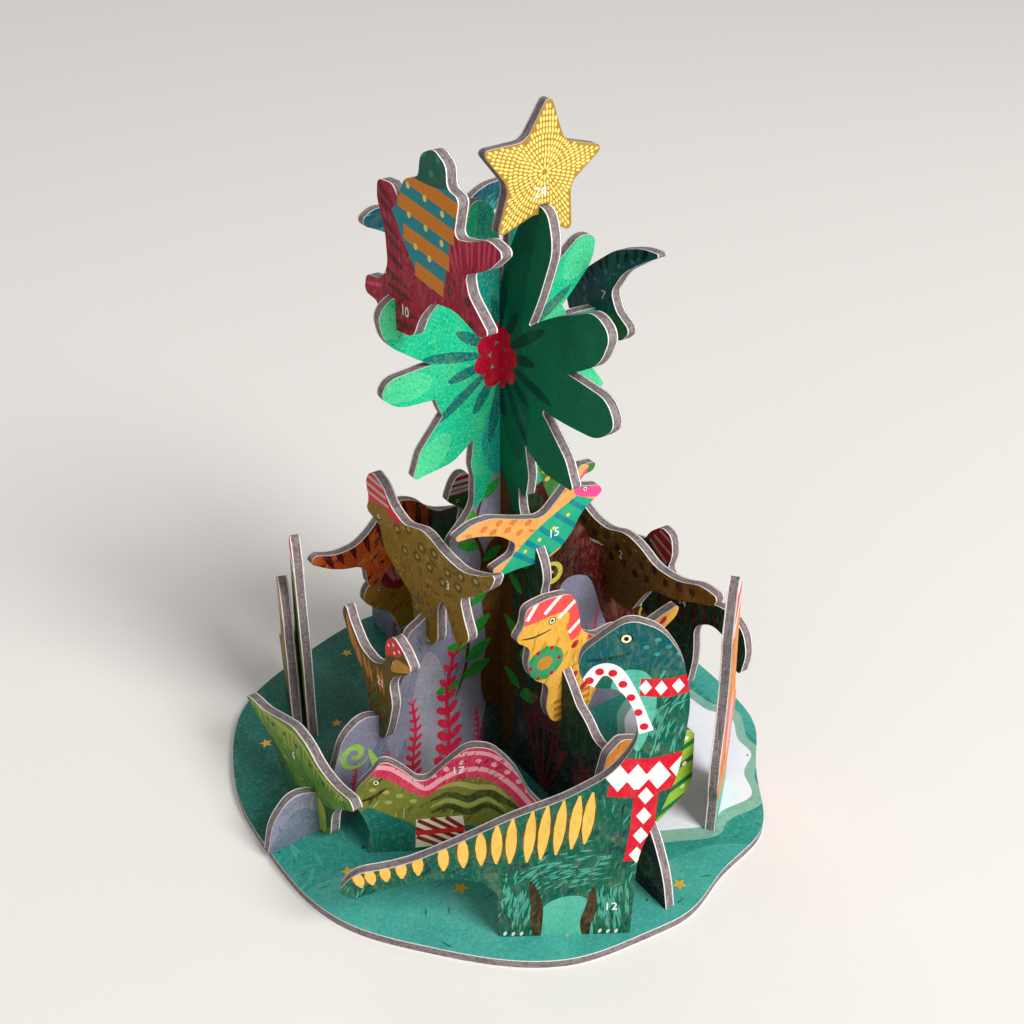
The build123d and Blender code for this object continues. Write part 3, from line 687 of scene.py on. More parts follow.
def crown_design(ink):
    """A ring of berries about a larger one, with dark blades that point away from it."""
    middle = Vector((0, 106))
    ways = [Vector((math.cos(math.pi * k / 8 + 0.2), math.sin(math.pi * k / 8 + 0.2)))
            for k in range(16)]
    design = [("line", ink, 2.4, [middle + way * (5 + share * (15 if k % 2 else 9))
                                  for share in (0, 0.4, 0.7, 1)]) for k, way in enumerate(ways)]
    design += [
        ("dots", "berry", 4.4, 4.4, 0, [middle + way * 5.4 for way in ways[::2]]),
        ("dots", "berry", 7, 7, 0, [middle]),
    ]
    return design


def vine_design(stem, leaves, leaf_ink="vine_green"):
    """A climbing stem with pairs of leaves."""
    design = [("line", "vine_stem", 0.9, stem)]
    for x, z, turn, length in leaves:
        angle = math.radians(turn)
        way = Vector((math.cos(angle), math.sin(angle)))
        side = Vector((-way.y, way.x)) * length * 0.24
        foot, tip = Vector((x, z)), Vector((x, z)) + way * length
        middle = foot.lerp(tip, 0.45)
        design.append(("area", leaf_ink, [tuple(foot), tuple(middle + side), tuple(tip),
            tuple(middle - side)]))
    return design


def left_upright_design():
    design = [("fill", "rock_grey"), ("hatch", "rock_blue", 0.9, 6, 85, 25, 260, 5),
              ("hatch", "rock_pale", 0.7, 6, 85, 25, 260, 8)]
    design += [
        ("area", "rock_pale", [(-32, 6), (-26, 12), (-25, 28), (-21, 38), (-17, 30), (-18, 12),
            (-22, 2)]),
        ("area", "rock_blue", [(-64, 0), (-56, 9), (-48, 4), (-40, 9), (-34, 20), (-32, 8), (-38, -4),
            (-60, -4)]),
        # Painted shade in the crease beside the trunk
        ("area", "rock_dark", [(0, 34), (-4, 22), (-7, 10), (-9, -3), (6, -3)]),
        ("flat", "maroon", [(0, 78), (14, 78), (40, 50), (66, 24), (66, -5), (0, -5)]),
        ("area", "maroon_deep", [(8, 62), (20, 50), (27, 30), (22, 8), (12, -6), (0, -6), (0, 60)]),
        ("area", "forest", [(2, 72), (10, 68), (15, 56), (9, 46), (2, 44)]),
        ("area", "rock_grey", [(10, -4), (12, 20), (14, 36), (17, 43), (24, 41), (28, 30), (32, 20),
            (36, 13), (44, 7), (47, -4)]),
    ]
    for x, top, lean in ((18, 26, -1), (20.5, 31, 0), (23, 28, 1), (25.5, 32, 1.4), (28, 25, 2),
                         (31, 18, 3), (16, 21, -1)):
        design.append(("line", "fern_red", 0.8, [(x, 4), (x + lean * 0.4, top * 0.6), (x + lean, top)]))
    design += [
        ("curl", "swirl_yellow", 1.4, (13, 46), 3.6, 1.4, 0.6),
        ("curl", "swirl_yellow", 1.3, (44, 24), 4, 1.3, 2.4),
        # Trunk with bark and climbing leaves
        ("area", "rock_grey", [(-1, 90), (-12, 84), (-14, 66), (-16, 50), (-6, 44), (-1, 50)]),
        ("area", "bark", [(1, 64), (-5, 60), (-6.5, 48), (-5.5, 34), (-7, 24), (-5, 16), (3, 20),
            (5, 60), (3, 70)]),
    ]
    design += vine_design([(-8, 50), (-6, 58), (-8, 66), (-5, 76)], [
        (-7, 53, 170, 6), (-6, 57, 25, 5.5), (-7, 61, 155, 6), (-7, 65, 30, 6),
        (-7.5, 69, 150, 6), (-6, 73, 40, 6), (-10, 55, 215, 5), (-6, 76, 130, 5)])
    design += vine_design([(-14, 22), (-11, 30), (-10, 40), (-9, 48)], [
        (-12, 27, 15, 8), (-12.5, 26, 185, 7), (-11, 31, 30, 8), (-10.5, 35, 160, 6),
        (-10, 38, 35, 7), (-9.5, 43, 150, 6), (-9, 46, 40, 6)])
    design += [
        # Curl of a young fern on the low rock
        ("line", "lime", 1.9, [(-36, 3), (-35.6, 8), (-36, 13), (-37.4, 17.6)]),
        ("curl", "lime", 1.6, (-41, 17.6), 3.9, 1.4, 3.3),
        # Crown
        ("area", "leaf_bright", [(-72, 150), (72, 150), (72, 84), (30, 78), (12, 73), (7, 72), (3, 78),
            (0, 82), (-3, 78), (-7, 72), (-12, 73), (-30, 78), (-72, 84)]),
        ("area", "leaf_teal", [(-4, 150), (-7, 128), (-8, 114), (-2, 104), (-3, 96), (-6, 86), (-2, 78),
            (5, 82), (6, 100), (8, 126), (4, 150)]),
    ]
    for tip in ((-31, 122), (-27, 105), (-21, 85), (22, 126), (27, 107), (24, 92)):
        foot = Vector((0, 104)).lerp(Vector(tip), 0.55)
        turn = math.degrees(math.atan2(tip[1] - 104, tip[0]))
        design.append(("dots", "leaf_light", 13, 6.5, turn, [tuple(foot.lerp(Vector(tip), 0.75))]))
    design += crown_design("leaf_vein")
    return design


def right_upright_design():
    # Painted shade: this face is printed in darker rock, leaf and fern inks than the left upright
    design = [("fill", "rock_dark"), ("hatch", "rock_deep", 1.2, 7, 80, 30, 320, 6)]
    design += [
        ("area", "rock_deep", [(10, -4), (14, 14), (24, 20), (38, 14), (50, 6), (66, 2), (66, -6)]),
        ("area", "forest", [(2, 70), (16, 66), (17, 52), (24, 40), (36, 27), (30, 20), (14, 26),
            (4, 40)]),
        ("area", "rock_blue", [(-62, -4), (-60, 8), (-50, 18), (-40, 30), (-28, 34), (-18, 24),
            (-14, -4)]),
        ("area", "forest", [(-48, 24), (-44, 38), (-34, 46), (-22, 54), (-12, 62), (-4, 60), (-8, 44),
            (-20, 40), (-34, 32)]),
    ]
    for x, z, turn in ((-38, 18, 70), (-30, 22, 100), (-46, 12, 120), (-24, 14, 60)):
        design += vine_design([(x, z - 8), (x, z)], [(x, z, turn, 8), (x, z - 3, turn + 60, 7),
                                                     (x, z - 3, turn - 60, 7)])
    design.append(("area", "bark", [(-4, 76), (-6, 50), (-8, 20), (-3, 4), (5, 6), (7, 30), (5, 60),
        (4, 76)]))
    design += vine_design([(6, 12), (10, 26), (8, 40), (10, 54), (7, 66)], [
        (9, 22, 30, 8), (9, 24, 160, 7), (9, 33, 40, 8), (8.5, 38, 150, 7), (9, 46, 35, 7),
        (9.5, 51, 150, 6), (9, 58, 50, 6), (8, 63, 140, 5)])
    # Red bushes low on the rock, in a darker red for painted shade
    for foot, spray in ((18, ((12, 20), (15, 27), (19, 29), (23, 24), (26, 17))),
                        (36, ((31, 14), (34, 19), (38, 18), (42, 13)))):
        for x, z in spray:
            bend = ((foot + x) / 2 + (x - foot) * 0.1, z * 0.45)
            design.append(("line", "fern_dark", 0.9, [(foot, -1), bend, (x, z)]))
            for share in (0.45, 0.65, 0.82):
                at = Vector(bend).lerp(Vector((x, z)), share)
                design += [
                    ("line", "fern_dark", 0.6, [tuple(at), (at.x - 1.4, at.y + 1.4),
                        (at.x - 2.2, at.y + 3.2)]),
                    ("line", "fern_dark", 0.6, [tuple(at), (at.x + 1.4, at.y + 1.4),
                        (at.x + 2.2, at.y + 3)]),
                ]
    design += [
        ("curl", "lizard_deep", 1.3, (56, 7), 4, 1.3, 1.2),
        # Crown in the darker leaf inks: painted shade
        ("area", "leaf_dark", [(-72, 150), (72, 150), (72, 84), (30, 77), (12, 72), (7, 71), (3, 78),
            (0, 81), (-3, 78), (-7, 71), (-12, 72), (-30, 77), (-72, 84)]),
        ("area", "leaf_shade", [(6, 150), (4, 126), (4, 108), (2, 92), (8, 84), (12, 96), (9, 112),
            (13, 134), (18, 150)]),
    ]
    design += crown_design("leaf_deep")
    return design


def base_design():
    design = [("fill", "ground"), ("hatch", "ground_light", 1.3, 7, 20, 90, 240, 4)]
    design += [
        # Painted shade and light: darker ground over the back half behind the uprights, lighter ground
        # at the front left and at the right
        ("area", "ground_deep", [(-70, 10), (-40, 4), (-16, 6), (10, 4), (30, 20), (70, 30), (60, 80),
            (-60, 80)]),
        ("area", "ground_light", [(-62, -16), (-40, -24), (-20, -44), (0, -52), (22, -56), (30, -72),
            (-30, -80), (-70, -40)]),
        ("area", "ground_light", [(56, 4), (70, 10), (70, -40), (48, -50), (52, -36)]),
        ("hatch", "ground_deep", 0.45, 4, 30, 90, 70, 9),
    ]
    snow_edge = (
        (-2, 18), (5, 21), (10, 17), (16, 16), (17, 9), (20, 3), (16, -4), (15, -10), (9, -14),
        (5, -21), (-4, -21), (-9, -23), (-16, -20), (-22, -16), (-22, -8), (-25, -3), (-17, 3),
        (-13, 11), (-7, 12))
    for ink, grow in (("snow_rim", 3.6), ("snow", 0)):
        scale = 1 + grow / 24
        design.append(("area", ink, [(33 + x * scale, -27 + y * scale) for x, y in snow_edge]))
    design += [
        ("area", "snow_rim", [(22, 24), (34, 22), (44, 32), (40, 46), (28, 50), (16, 42), (14, 30)]),
        ("area", "snow", [(23, 28), (33, 26), (40, 33), (37, 43), (28, 46), (19, 40), (18, 31)]),
    ]
    specks = random.Random(24)
    spots = []
    while len(spots) < 46:
        angle, reach = specks.uniform(0, 6.283), 62 * math.sqrt(specks.random())
        spots.append((reach * math.cos(angle), reach * math.sin(angle)))
    design += [
        ("dots", "neck_deep", 0.55, 0.5, 0, spots[:28]),
        ("dots", "neck_green", 1.3, 0.9, 30, spots[28:]),
    ]
    for x, y, turn in ((-30, -40, 20), (-8, -58, -12), (-52, -12, 60), (40, -58, 80),
                       (-20, 40, 30)):
        way = Vector((math.cos(math.radians(turn)), math.sin(math.radians(turn)))) * 5
        design.append(("line", "neck_light", 0.25, [(x, y), (x + way.x, y + way.y),
            (x + 2 * way.x, y + 2.3 * way.y)]))
    return design


def eye(place, size=1.9):
    """A small animal's eye."""
    return [("dots", "eye_black", size * 1.35, size * 1.25, 0, [place]),
            ("dots", "eye_white", size, size, 0, [place]),
            ("dots", "eye_black", size * 0.5, size * 0.5, 0, [place])]


# Each figure's first ink, with the ink of its dark and of its light strokes
SHADES = {
    "gold": ("gold", "gold"), "wing_red": ("wing_maroon", "wing_shine"),
    "teal_ink": ("teal_night", "teal_shine"), "wing_orange": ("wing_amber", "raptor_yellow"),
    "olive": ("olive_dark", "olive_light"), "olive_dark": ("umber", "olive"),
    "lizard": ("lizard_deep", "lizard_light"), "raptor_yellow": ("raptor_ochre", "ochre"),
    "horn_brown": ("spot_brown", "wing_amber"), "forest": ("forest_deep", "forest_light"),
    "spot_brown": ("olive_dark", "olive"), "tall_green": ("forest", "lizard"),
    "tail_orange": ("tail_spot", "horn_brown"), "raptor_ochre": ("spot_brown", "raptor_yellow"),
    "body_olive": ("body_spot", "body_light"), "neck_green": ("neck_deep", "neck_light"),
    "tall_orange": ("tail_orange", "wing_orange"), "violet": ("teal_night", "violet_light"),
    "egg": ("cream", "hat_white"),
}


def painted(node, design):
    """A figure's design with brush strokes over its first colour, light over dark. Each dark
    stroke has 26 square millimetres of room, and strokes on a tall card stand up."""
    card, ink = CARDS[node], design[0][1]
    dark, light = SHADES[ink]
    width, height = card.high - card.low
    room = 26
    count = int(width * height / room)
    turn = 70 if height > 0.7 * width else 15
    strokes = [("hatch", dark, 0.7, 4.5, turn, 50, count, 7 + len(node)),
               ("hatch", ink, 0.8, 4.5, turn, 50, count // 2, 3 + len(node)),
               ("hatch", light, 0.45, 4, turn, 50, int(count * 0.8), 11 + len(node))]
    return design[:1] + strokes + design[1:]


def rimmed_stripes(width, count, first, second):
    """Ochre stripes with a dark rim, across the space between two edges."""
    return [("ribs", "olive_dark", width + 0.7, count, first, second),
            ("ribs", "ochre", width, count, first, second)]


def knitted(first, second, count, size):
    """Knitted cloth between two edges: red, with a row of white diamonds."""
    one, two = (smooth_path(edge, False, 12) for edge in (first, second))
    design = [("between", "scarf_red", first, second)]
    for step in range(count):
        place = round((step + 0.5) / count * (len(one) - 1))
        middle = (one[place] + two[place]) / 2
        diamond = [middle + Vector(way) * size for way in ((-0.8, 0), (0, 1), (0.8, 0), (0, -1))]
        design.append(("flat", "hat_white", diamond))
    return design


# Middles of the rings on the duckbill's back
BACK_RINGS = [
    (26, 72), (36, 80), (46, 74), (56, 78), (66, 72), (76, 78), (87, 84), (32, 60), (42, 64),
    (52, 64), (62, 61), (74, 68)]

# What each figure shows, the same on both sides
FIGURES = {
    "star_topper": [("fill", "gold")],
    "flyer_with_gift": [
        ("fill", "wing_red"),
        ("ribs", "wing_maroon", 1.5, 9, [(10, 76), (16, 40), (20, 2)], [(26, 66), (34, 34), (44, 6)]),
        ("ribs", "wing_shine", 0.8, 10, [(60, 60), (80, 72), (98, 74)], [(66, 46), (80, 54), (96, 60)]),
        ("dots", "wing_maroon", 2.6, 1.9, 30, [(56, 24), (68, 22), (80, 27), (90, 22), (66, 38),
            (78, 38)]),
        ("flat", "parcel_teal", [(25, 62), (29, 66), (33, 90), (74, 90), (72, 76), (67, 62), (62, 38),
            (52, 33), (42, 37), (34, 48)]),
        ("bars", "parcel_orange", 3, 4, [(32, 88), (31, 62), (44, 34)], [(74, 82), (68, 58), (60, 32)]),
        ("dots", "parcel_yellow", 1.3, 1.3, 0, [(38, 78), (50, 76), (62, 73), (38, 64), (50, 62),
            (61, 59), (42, 50), (52, 48)]),
        ("area", "bow_green", [(40, 84), (45, 92), (47, 106), (64, 106), (70, 95), (68, 87), (60, 84),
            (50, 83)]),
        ("dots", "bow_light", 1.5, 1.5, 0, [(50, 97), (60, 97), (55, 89)]),
        ("line", "wing_shine", 0.9, [(0, 15), (8, 17), (14, 19)]),
    ] + eye((17, 28), 1.2),
    "teal_flyer": [
        ("fill", "teal_ink"),
        ("ribs", "teal_black", 1.4, 10, [(2, 40), (40, 80), (92, 100)], [(14, 30), (44, 62), (86, 90)]),
        ("dots", "teal_shine", 1.1, 0.9, 0, [(22, 34), (34, 48), (46, 60), (60, 72), (74, 82)]),
        ("area", "forest_light", [(52, 22), (76, 14), (62, -4), (46, 8)]),
    ],
    "orange_flyer": [
        ("fill", "wing_orange"),
        ("dots", "wing_amber", 1.9, 1.4, 20, [(8, 62), (18, 65), (28, 66), (38, 62), (24, 58), (34, 54),
            (48, 54), (42, 46)]),
        ("between", "parcel_mint", [(26, 2), (52, 40), (82, 66)], [(40, -4), (72, 10), (98, 50)]),
        ("bars", "parcel_teal", 1.2, 5, [(36, 20), (56, 42), (80, 64)], [(52, -2), (74, 12), (94, 44)]),
        ("dots", "parcel_yellow", 0.9, 0.9, 0, [(46, 20), (56, 28), (66, 36), (76, 46)]),
        ("area", "pink", [(80, 74), (86, 62), (102, 56), (100, 80), (90, 96)]),
    ] + eye((88, 70), 1.1),
    "teal_back_flyer": [
        ("fill", "teal_ink"),
        ("ribs", "teal_shine", 0.7, 9, [(4, 78), (22, 80), (44, 62)], [(18, 70), (32, 56), (44, 36)]),
        ("ribs", "teal_shine", 0.7, 9, [(60, 62), (80, 82), (96, 78)], [(58, 36), (70, 54), (84, 68)]),
        ("area", "raptor_ochre", [(45, 58), (56, 58), (57, 20), (52, -2), (45, 16)]),
        ("dots", "teal_night", 1.4, 1.2, 0, [(49, 46), (53, 36), (49, 26)]),
    ],
    "duckbill_with_hat": [
        ("fill", "olive"),
        ("dots", "olive_dark", 3.4, 2.6, 20, BACK_RINGS),
        ("dots", "olive_light", 1.5, 1.1, 20, BACK_RINGS),
        ("hatch", "umber", 0.4, 3, 85, 20, 70, 34, (50, 28), (7, 4)),
        ("bars", "shadow_grey", 0.8, 3, [(34, 32), (36, 18), (36, 6)], [(46, 32), (46, 18), (48, 6)]),
        ("line", "claw", 1, [(38, 2), (44, 1), (50, 2)]),
        ("area", "hat_red", [(-3, 76), (-3, 104), (10, 106), (17, 94), (24, 86), (31, 82), (24, 76),
            (14, 80)]),
        ("bars", "hat_grey", 0.8, 4, [(-2, 80), (-2, 92), (2, 104)], [(20, 82), (16, 92), (10, 104)]),
    ] + eye((10, 69), 1.2),
    "small_raptor": [
        ("fill", "olive_dark"),
        ("ribs", "horn_brown", 1.5, 8, [(4, 84), (24, 60), (60, 62)], [(10, 60), (30, 44), (62, 40)]),
        ("dots", "forest_light", 2, 1.6, 0, [(42, 30), (56, 28), (46, 18), (58, 14), (50, 6)]),
        ("dots", "stripe_red", 1.1, 0.9, 0, [(50, 24), (40, 20), (54, 20), (44, 10)]),
        ("area", "raptor_ochre", [(72, 70), (96, 82), (102, 88), (80, 84)]),
        ("area", "hat_red", [(64, 80), (66, 96), (78, 102), (90, 96), (84, 88), (74, 84)]),
        ("dots", "hat_white", 0.8, 0.8, 0, [(70, 90), (77, 94), (78, 88), (85, 93)]),
    ] + eye((76, 78), 1),
    "long_lizard": [
        ("fill", "lizard"),
        ("area", "lizard_deep", [(10, 50), (30, 46), (50, 24), (70, 40), (90, 62), (70, 10), (40, 0)]),
        ("line", "lizard_light", 1.4, [(4, 66), (30, 80), (52, 92), (72, 80), (96, 86)]),
        ("ribs", "lizard_light", 0.6, 24, [(10, 70), (34, 84), (54, 94), (92, 86)], [(12, 60), (36, 64),
            (54, 66), (88, 72)]),
        ("area", "forest_light", [(34, 30), (44, 34), (44, 6), (36, 8)]),
        ("area", "lizard_light", [(60, 36), (72, 40), (72, 8), (62, 2)]),
        ("dots", "lizard_deep", 1.8, 1.2, 20, [(26, 70), (38, 76), (50, 80), (62, 76), (74, 72)]),
    ] + eye((90, 82), 1.2),
    "raptor_with_wreath": [
        ("fill", "raptor_yellow"),
        ("hatch", "raptor_ochre", 0.6, 3, 60, 40, 70, 35, (42, 40), (7, 5)),
        ("dots", "stripe_red", 2.3, 1.6, 40, [(34, 58), (44, 60), (40, 46), (52, 50), (48, 36),
            (60, 44), (70, 46), (80, 43), (90, 47), (34, 34), (40, 22)]),
        ("dots", "umber", 0.9, 0.7, 40, [(39, 53), (46, 53), (46, 43), (55, 43), (65, 41), (75, 40),
            (40, 36), (34, 26)]),
        ("bars", "horn_brown", 0.9, 4, [(22, 20), (22, 10), (22, 0)], [(44, 20), (44, 10), (44, 0)]),
        # A ring of leaves with berries
        ("dots", "wreath", 10, 8.6, 0, [(16, 53)]),
        ("dots", "raptor_ochre", 4.2, 3.4, 0, [(16, 53)]),
        ("dots", "vine_green", 2, 1.1, 45, [(9, 60), (23, 46), (16, 63.5)]),
        ("dots", "vine_green", 2, 1.1, -45, [(23, 60), (9, 46), (16, 42.5)]),
        ("dots", "berry", 1.1, 1.1, 0, [(12, 62.5), (20, 62.5), (24.5, 53), (20, 43.5), (12, 43.5),
            (7.5, 53)]),
        ("line", "pencil", 0.5, [(2, 78), (10, 76), (20, 77)]),
        ("area", "hat_coral", [(0, 88), (6, 106), (36, 106), (42, 88), (38, 68), (32, 62), (29, 72),
            (28, 86)]),
        ("bars", "hat_white", 1, 4, [(2, 90), (20, 88), (32, 64)], [(8, 104), (36, 102), (42, 74)]),
    ] + eye((20, 83), 1.5),
    "horned_dinosaur_with_gift": [
        ("fill", "horn_brown"),
        ("ribs", "wing_amber", 1.2, 8, [(2, 90), (2, 60), (6, 30)], [(40, 94), (42, 66), (40, 30)]),
        ("flat", "apple", [(46, 105), (105, 98), (105, 16), (60, -5), (44, 10)]),
        ("bars", "apple_dot", 1.5, 6, [(44, 92), (44, 50), (50, 2)], [(104, 102), (104, 62),
            (104, 16)]),
        ("band", "apple_ribbon", 2, [(52, 100), (58, 50), (60, -2)]),
        ("dots", "cream", 1.3, 1.3, 0, [(74, 86), (90, 74), (74, 62), (90, 50), (74, 38), (90, 28)]),
    ] + eye((16, 80), 1.3),
    "green_dinosaur_with_hat": [
        ("fill", "forest"),
        ("ribs", "maroon", 1.8, 9, [(30, 68), (60, 70), (94, 66)], [(30, 44), (60, 46), (88, 52)]),
        ("dots", "forest_light", 1.5, 1.1, 0, [(26, 34), (36, 36), (46, 34), (56, 32), (30, 24),
            (42, 24)]),
        ("area", "berry", [(20, 88), (28, 102), (38, 100), (40, 88), (34, 78)]),
        ("bars", "hat_grey", 0.9, 3, [(20, 86), (24, 92), (30, 100)], [(34, 76), (40, 86), (42, 96)]),
    ] + eye((15, 76), 1.2),
    "spotted_dinosaur": [
        ("fill", "spot_brown"),
        ("dots", "maroon", 2.2, 2.2, 0, [(14, 78), (22, 72), (30, 78), (38, 72), (46, 78), (54, 72),
            (62, 78), (70, 72), (78, 80), (86, 84), (26, 58), (34, 56), (42, 58), (50, 56), (58, 60)]),
        ("dots", "olive_light", 0.9, 0.9, 0, [(18, 84), (26, 84), (34, 86), (42, 88), (50, 86),
            (58, 84), (66, 86), (74, 86)]),
    ] + eye((7, 80), 1.2),
    "dinosaur_with_bobble_hat": [
        ("fill", "tall_green"),
        ("dots", "raptor_yellow", 1.6, 1.2, 15, [(24, 72), (34, 76), (44, 74), (54, 72), (64, 68),
            (74, 62), (84, 57), (30, 60), (42, 62), (54, 60), (66, 56)]),
        ("flat", "hat_red", [(-2, 76), (-2, 88), (6, 104), (14, 104), (20, 84), (18, 74)]),
        ("bars", "hat_white", 0.8, 4, [(-2, 78), (0, 88), (6, 102)], [(18, 76), (17, 86), (13, 102)]),
    ] + eye((6, 68), 1.1),
    "humped_dinosaur": [
        ("fill", "tail_orange"),
        ("ribs", "maroon", 1.6, 12, [(4, 70), (50, 102), (94, 66)], [(10, 46), (52, 52), (88, 44)]),
        ("dots", "tail_spot", 1.4, 1, 0, [(40, 34), (50, 38), (60, 38), (70, 36), (56, 22), (68, 20)]),
    ] + eye((94, 54), 1.1),
    "frilled_dinosaur": [
        ("fill", "raptor_ochre"),
        ("area", "stripe_red", [(14, 66), (20, 98), (32, 98), (38, 66), (28, 52)]),
        ("ribs", "sail_pink", 0.7, 7, [(16, 80), (26, 98), (34, 88)], [(24, 62), (28, 62), (32, 62)]),
        ("dots", "olive_dark", 2.4, 1.8, 15, [(46, 78), (58, 82), (70, 76), (54, 64), (66, 60),
            (82, 56)]),
        ("area", "olive_light", [(26, 20), (44, 24), (70, 20), (60, 2), (30, 2)]),
        ("line", "claw", 0.9, [(26, 3), (34, 2), (42, 4)]),
    ] + eye((12, 60), 1.3),
    "sail_back_with_gift": [
        ("fill", "body_olive"),
        ("area", "sail_red", [(5, 80), (10, 98), (26, 98), (37, 80), (50, 102), (66, 110), (86, 98),
            (104, 40), (100, 24), (92, 28), (85, 46), (76, 62), (66, 71), (55, 70), (46, 63), (38, 55),
            (30, 60), (20, 72), (12, 77)]),
        # Bands that follow the sail, with a row of dots between them
        ("band", "sail_pink", 1.3, [(10, 86), (20, 84), (30, 72), (38, 63), (47, 72), (58, 79),
            (70, 78), (82, 64), (92, 44), (98, 26)]),
        ("band", "sail_pink", 1.1, [(38, 76), (48, 89), (60, 95), (73, 92), (86, 74), (98, 48)]),
        ("dots", "sail_pink", 1.4, 1.4, 0, [(42, 75), (49, 81), (57, 86.5), (66, 87), (74, 83),
            (81, 75), (87, 65), (92, 55)]),
        ("hatch", "sail_deep", 0.4, 2.4, 80, 40, 120, 36, (66, 82), (9, 3.4)),
        # Wavy stripes on the flank
        ("line", "body_spot", 2.2, [(40, 50), (50, 56), (60, 50), (70, 56), (80, 46), (88, 36)]),
        ("line", "body_spot", 1.8, [(40, 38), (50, 44), (60, 37), (70, 43), (80, 32)]),
        ("line", "body_light", 1.6, [(44, 62), (54, 66), (64, 62), (74, 60), (82, 48)]),
        ("line", "body_light", 1.4, [(40, 44), (50, 50), (60, 44), (70, 49), (80, 38)]),
        ("dots", "body_light", 1.6, 1.2, 0, [(10, 64), (17, 61), (24, 57), (31, 51), (18, 51)]),
        ("area", "ground_deep", [(-4, -5), (-2, 30), (6, 46), (16, 40), (30, 28), (44, 16), (60, 24),
            (74, 14), (90, 12), (90, -5)]),
        # Parcel with slanting stripes and one ribbon
        ("flat", "cream", [(32, 32), (57, 34), (59, 6), (31, 3)]),
        ("bars", "dot_red", 1.1, 5, [(32, 12), (33, 31), (50, 33)], [(41, 5), (58, 7), (57.5, 22)]),
        ("band", "ribbon_red", 1.4, [(31.5, 18), (45, 19), (58, 20)]),
        ("line", "umber", 0.8, [(3, 53), (10, 57), (18, 66)]),
    ] + eye((12, 71), 1.3),
    "long_neck_with_scarf": [
        ("fill", "neck_green"),
        ("hatch", "neck_light", 0.5, 3.6, 50, 40, 90, 21, (66, 23), (5, 2.4)),
        ("hatch", "neck_light", 0.5, 4.2, 86, 14, 60, 22, (52.5, 10), (1.6, 4)),
        ("hatch", "neck_light", 0.5, 4.2, 86, 14, 70, 23, (81.5, 10), (2, 4)),
        ("hatch", "neck_light", 0.5, 3.6, 80, 20, 60, 37, (93, 72), (1.8, 6)),
        ("hatch", "neck_deep", 0.6, 4, 60, 50, 70, 24, (45, 26), (9, 3)),
        ("hatch", "neck_deep", 0.6, 4, 80, 30, 50, 25, (86, 30), (2.4, 5)),
        # Legs, with light paper between them and shade behind each
        ("area", "soft_teal", [(60, -5), (60, 9), (65, 13.5), (72, 14), (74.5, 10), (75, -5)]),
        ("line", "umber", 2.6, [(56.5, 20), (58.5, 12), (58.5, 4), (59, -2)]),
        ("line", "umber", 2.6, [(75.5, 17), (75, 10), (73.5, 4), (74, -2)]),
        # Head, light paper below it and a white stick with red dots
        ("area", "neck_teal", [(66, 84), (68, 95), (80, 104), (96, 102), (104, 88), (96, 86), (88, 87),
            (80, 87.5)]),
        ("dots", "teal_shine", 1.2, 0.9, 0, [(87, 93), (90, 95), (90, 91), (93, 93), (96, 95),
            (96, 91)]),
        ("line", "neck_deep", 0.9, [(71, 89.5), (77, 90), (83, 91.5)]),
        ("area", "soft_teal", [(80, 86), (87, 86), (90.5, 80), (90, 71), (86, 62), (82, 74), (78, 80)]),
        ("band", "hat_white", 2.9, [(71.5, 82.5), (74.5, 86.5), (79, 86), (83.5, 79), (88.5, 68)]),
        ("dots", "scarf_red", 1.7, 1.7, 0, [(72, 83.8), (74.7, 86.3), (78.3, 85.8), (81.2, 82.5),
            (83.6, 78.5), (85.8, 74), (87.7, 69.7)]),
        # Stripes across tail and back
    ] + rimmed_stripes(2.3, 15, [(3, 24.5), (20, 29.5), (42, 37.5), (60, 45), (76, 50)],
                       [(5, 19), (20, 22.5), (42, 26), (58, 27), (74, 33)]) + [
        # Scarf: a broad collar, a narrow turn under the head and an end down the chest
    ] + knitted([(86, 79), (94, 78.5), (103, 81)], [(86, 84), (94, 84), (103, 86.5)], 4, 2.2)
    + knitted([(78, 48), (88, 47.5), (100, 51.5)], [(81, 60), (91, 60), (103, 63)], 4, 4.5)
    + knitted([(86, 50), (85.5, 38), (84, 26)], [(93, 50), (92.5, 38), (91, 26)], 4, 2.8) + [
        ("dots", "claw", 1.3, 0.7, 70, [(49, 1.2), (51.5, 1), (54, 1), (78, 1.2), (80.5, 1), (83, 1)]),
    ] + eye((81.5, 95.5), 1.9),
    "tall_orange_dinosaur": [
        ("fill", "tall_orange"),
        ("ribs", "stripe_red", 1.2, 14, [(6, 78), (16, 54), (10, 38), (6, 20)], [(26, 76), (40, 56),
            (46, 38), (42, 22)]),
        ("ribs", "wing_amber", 0.8, 16, [(34, 86), (60, 50), (98, 28)], [(22, 74), (42, 44), (80, 22)]),
        ("area", "pink_light", [(40, 40), (60, 44), (70, 30), (56, 20), (42, 24)]),
        ("area", "hat_red", [(0, 88), (8, 99), (24, 102), (36, 94), (20, 88)]),
        ("band", "hat_white", 2.6, [(-2, 84), (14, 86), (34, 90)]),
        ("area", "soft_teal", [(6, -2), (8, 12), (30, 10), (74, 6), (76, -2)]),
        ("dots", "hat_white", 4.4, 4.4, 0, [(14, 99)]),
    ] + eye((14, 80), 1.4),
    "tall_green_dinosaur": [
        ("fill", "tall_green"),
        ("area", "lizard_deep", [(10, 10), (16, 50), (30, 60), (60, 30), (96, 22), (70, 6)]),
        ("ribs", "raptor_ochre", 1.1, 14, [(4, 80), (4, 50), (12, 20)], [(24, 80), (32, 52), (46, 24)]),
        ("area", "stripe_red", [(4, 14), (20, 20), (20, -2), (8, -2)]),
        ("area", "hat_red", [(0, 92), (8, 100), (26, 102), (34, 92), (16, 90)]),
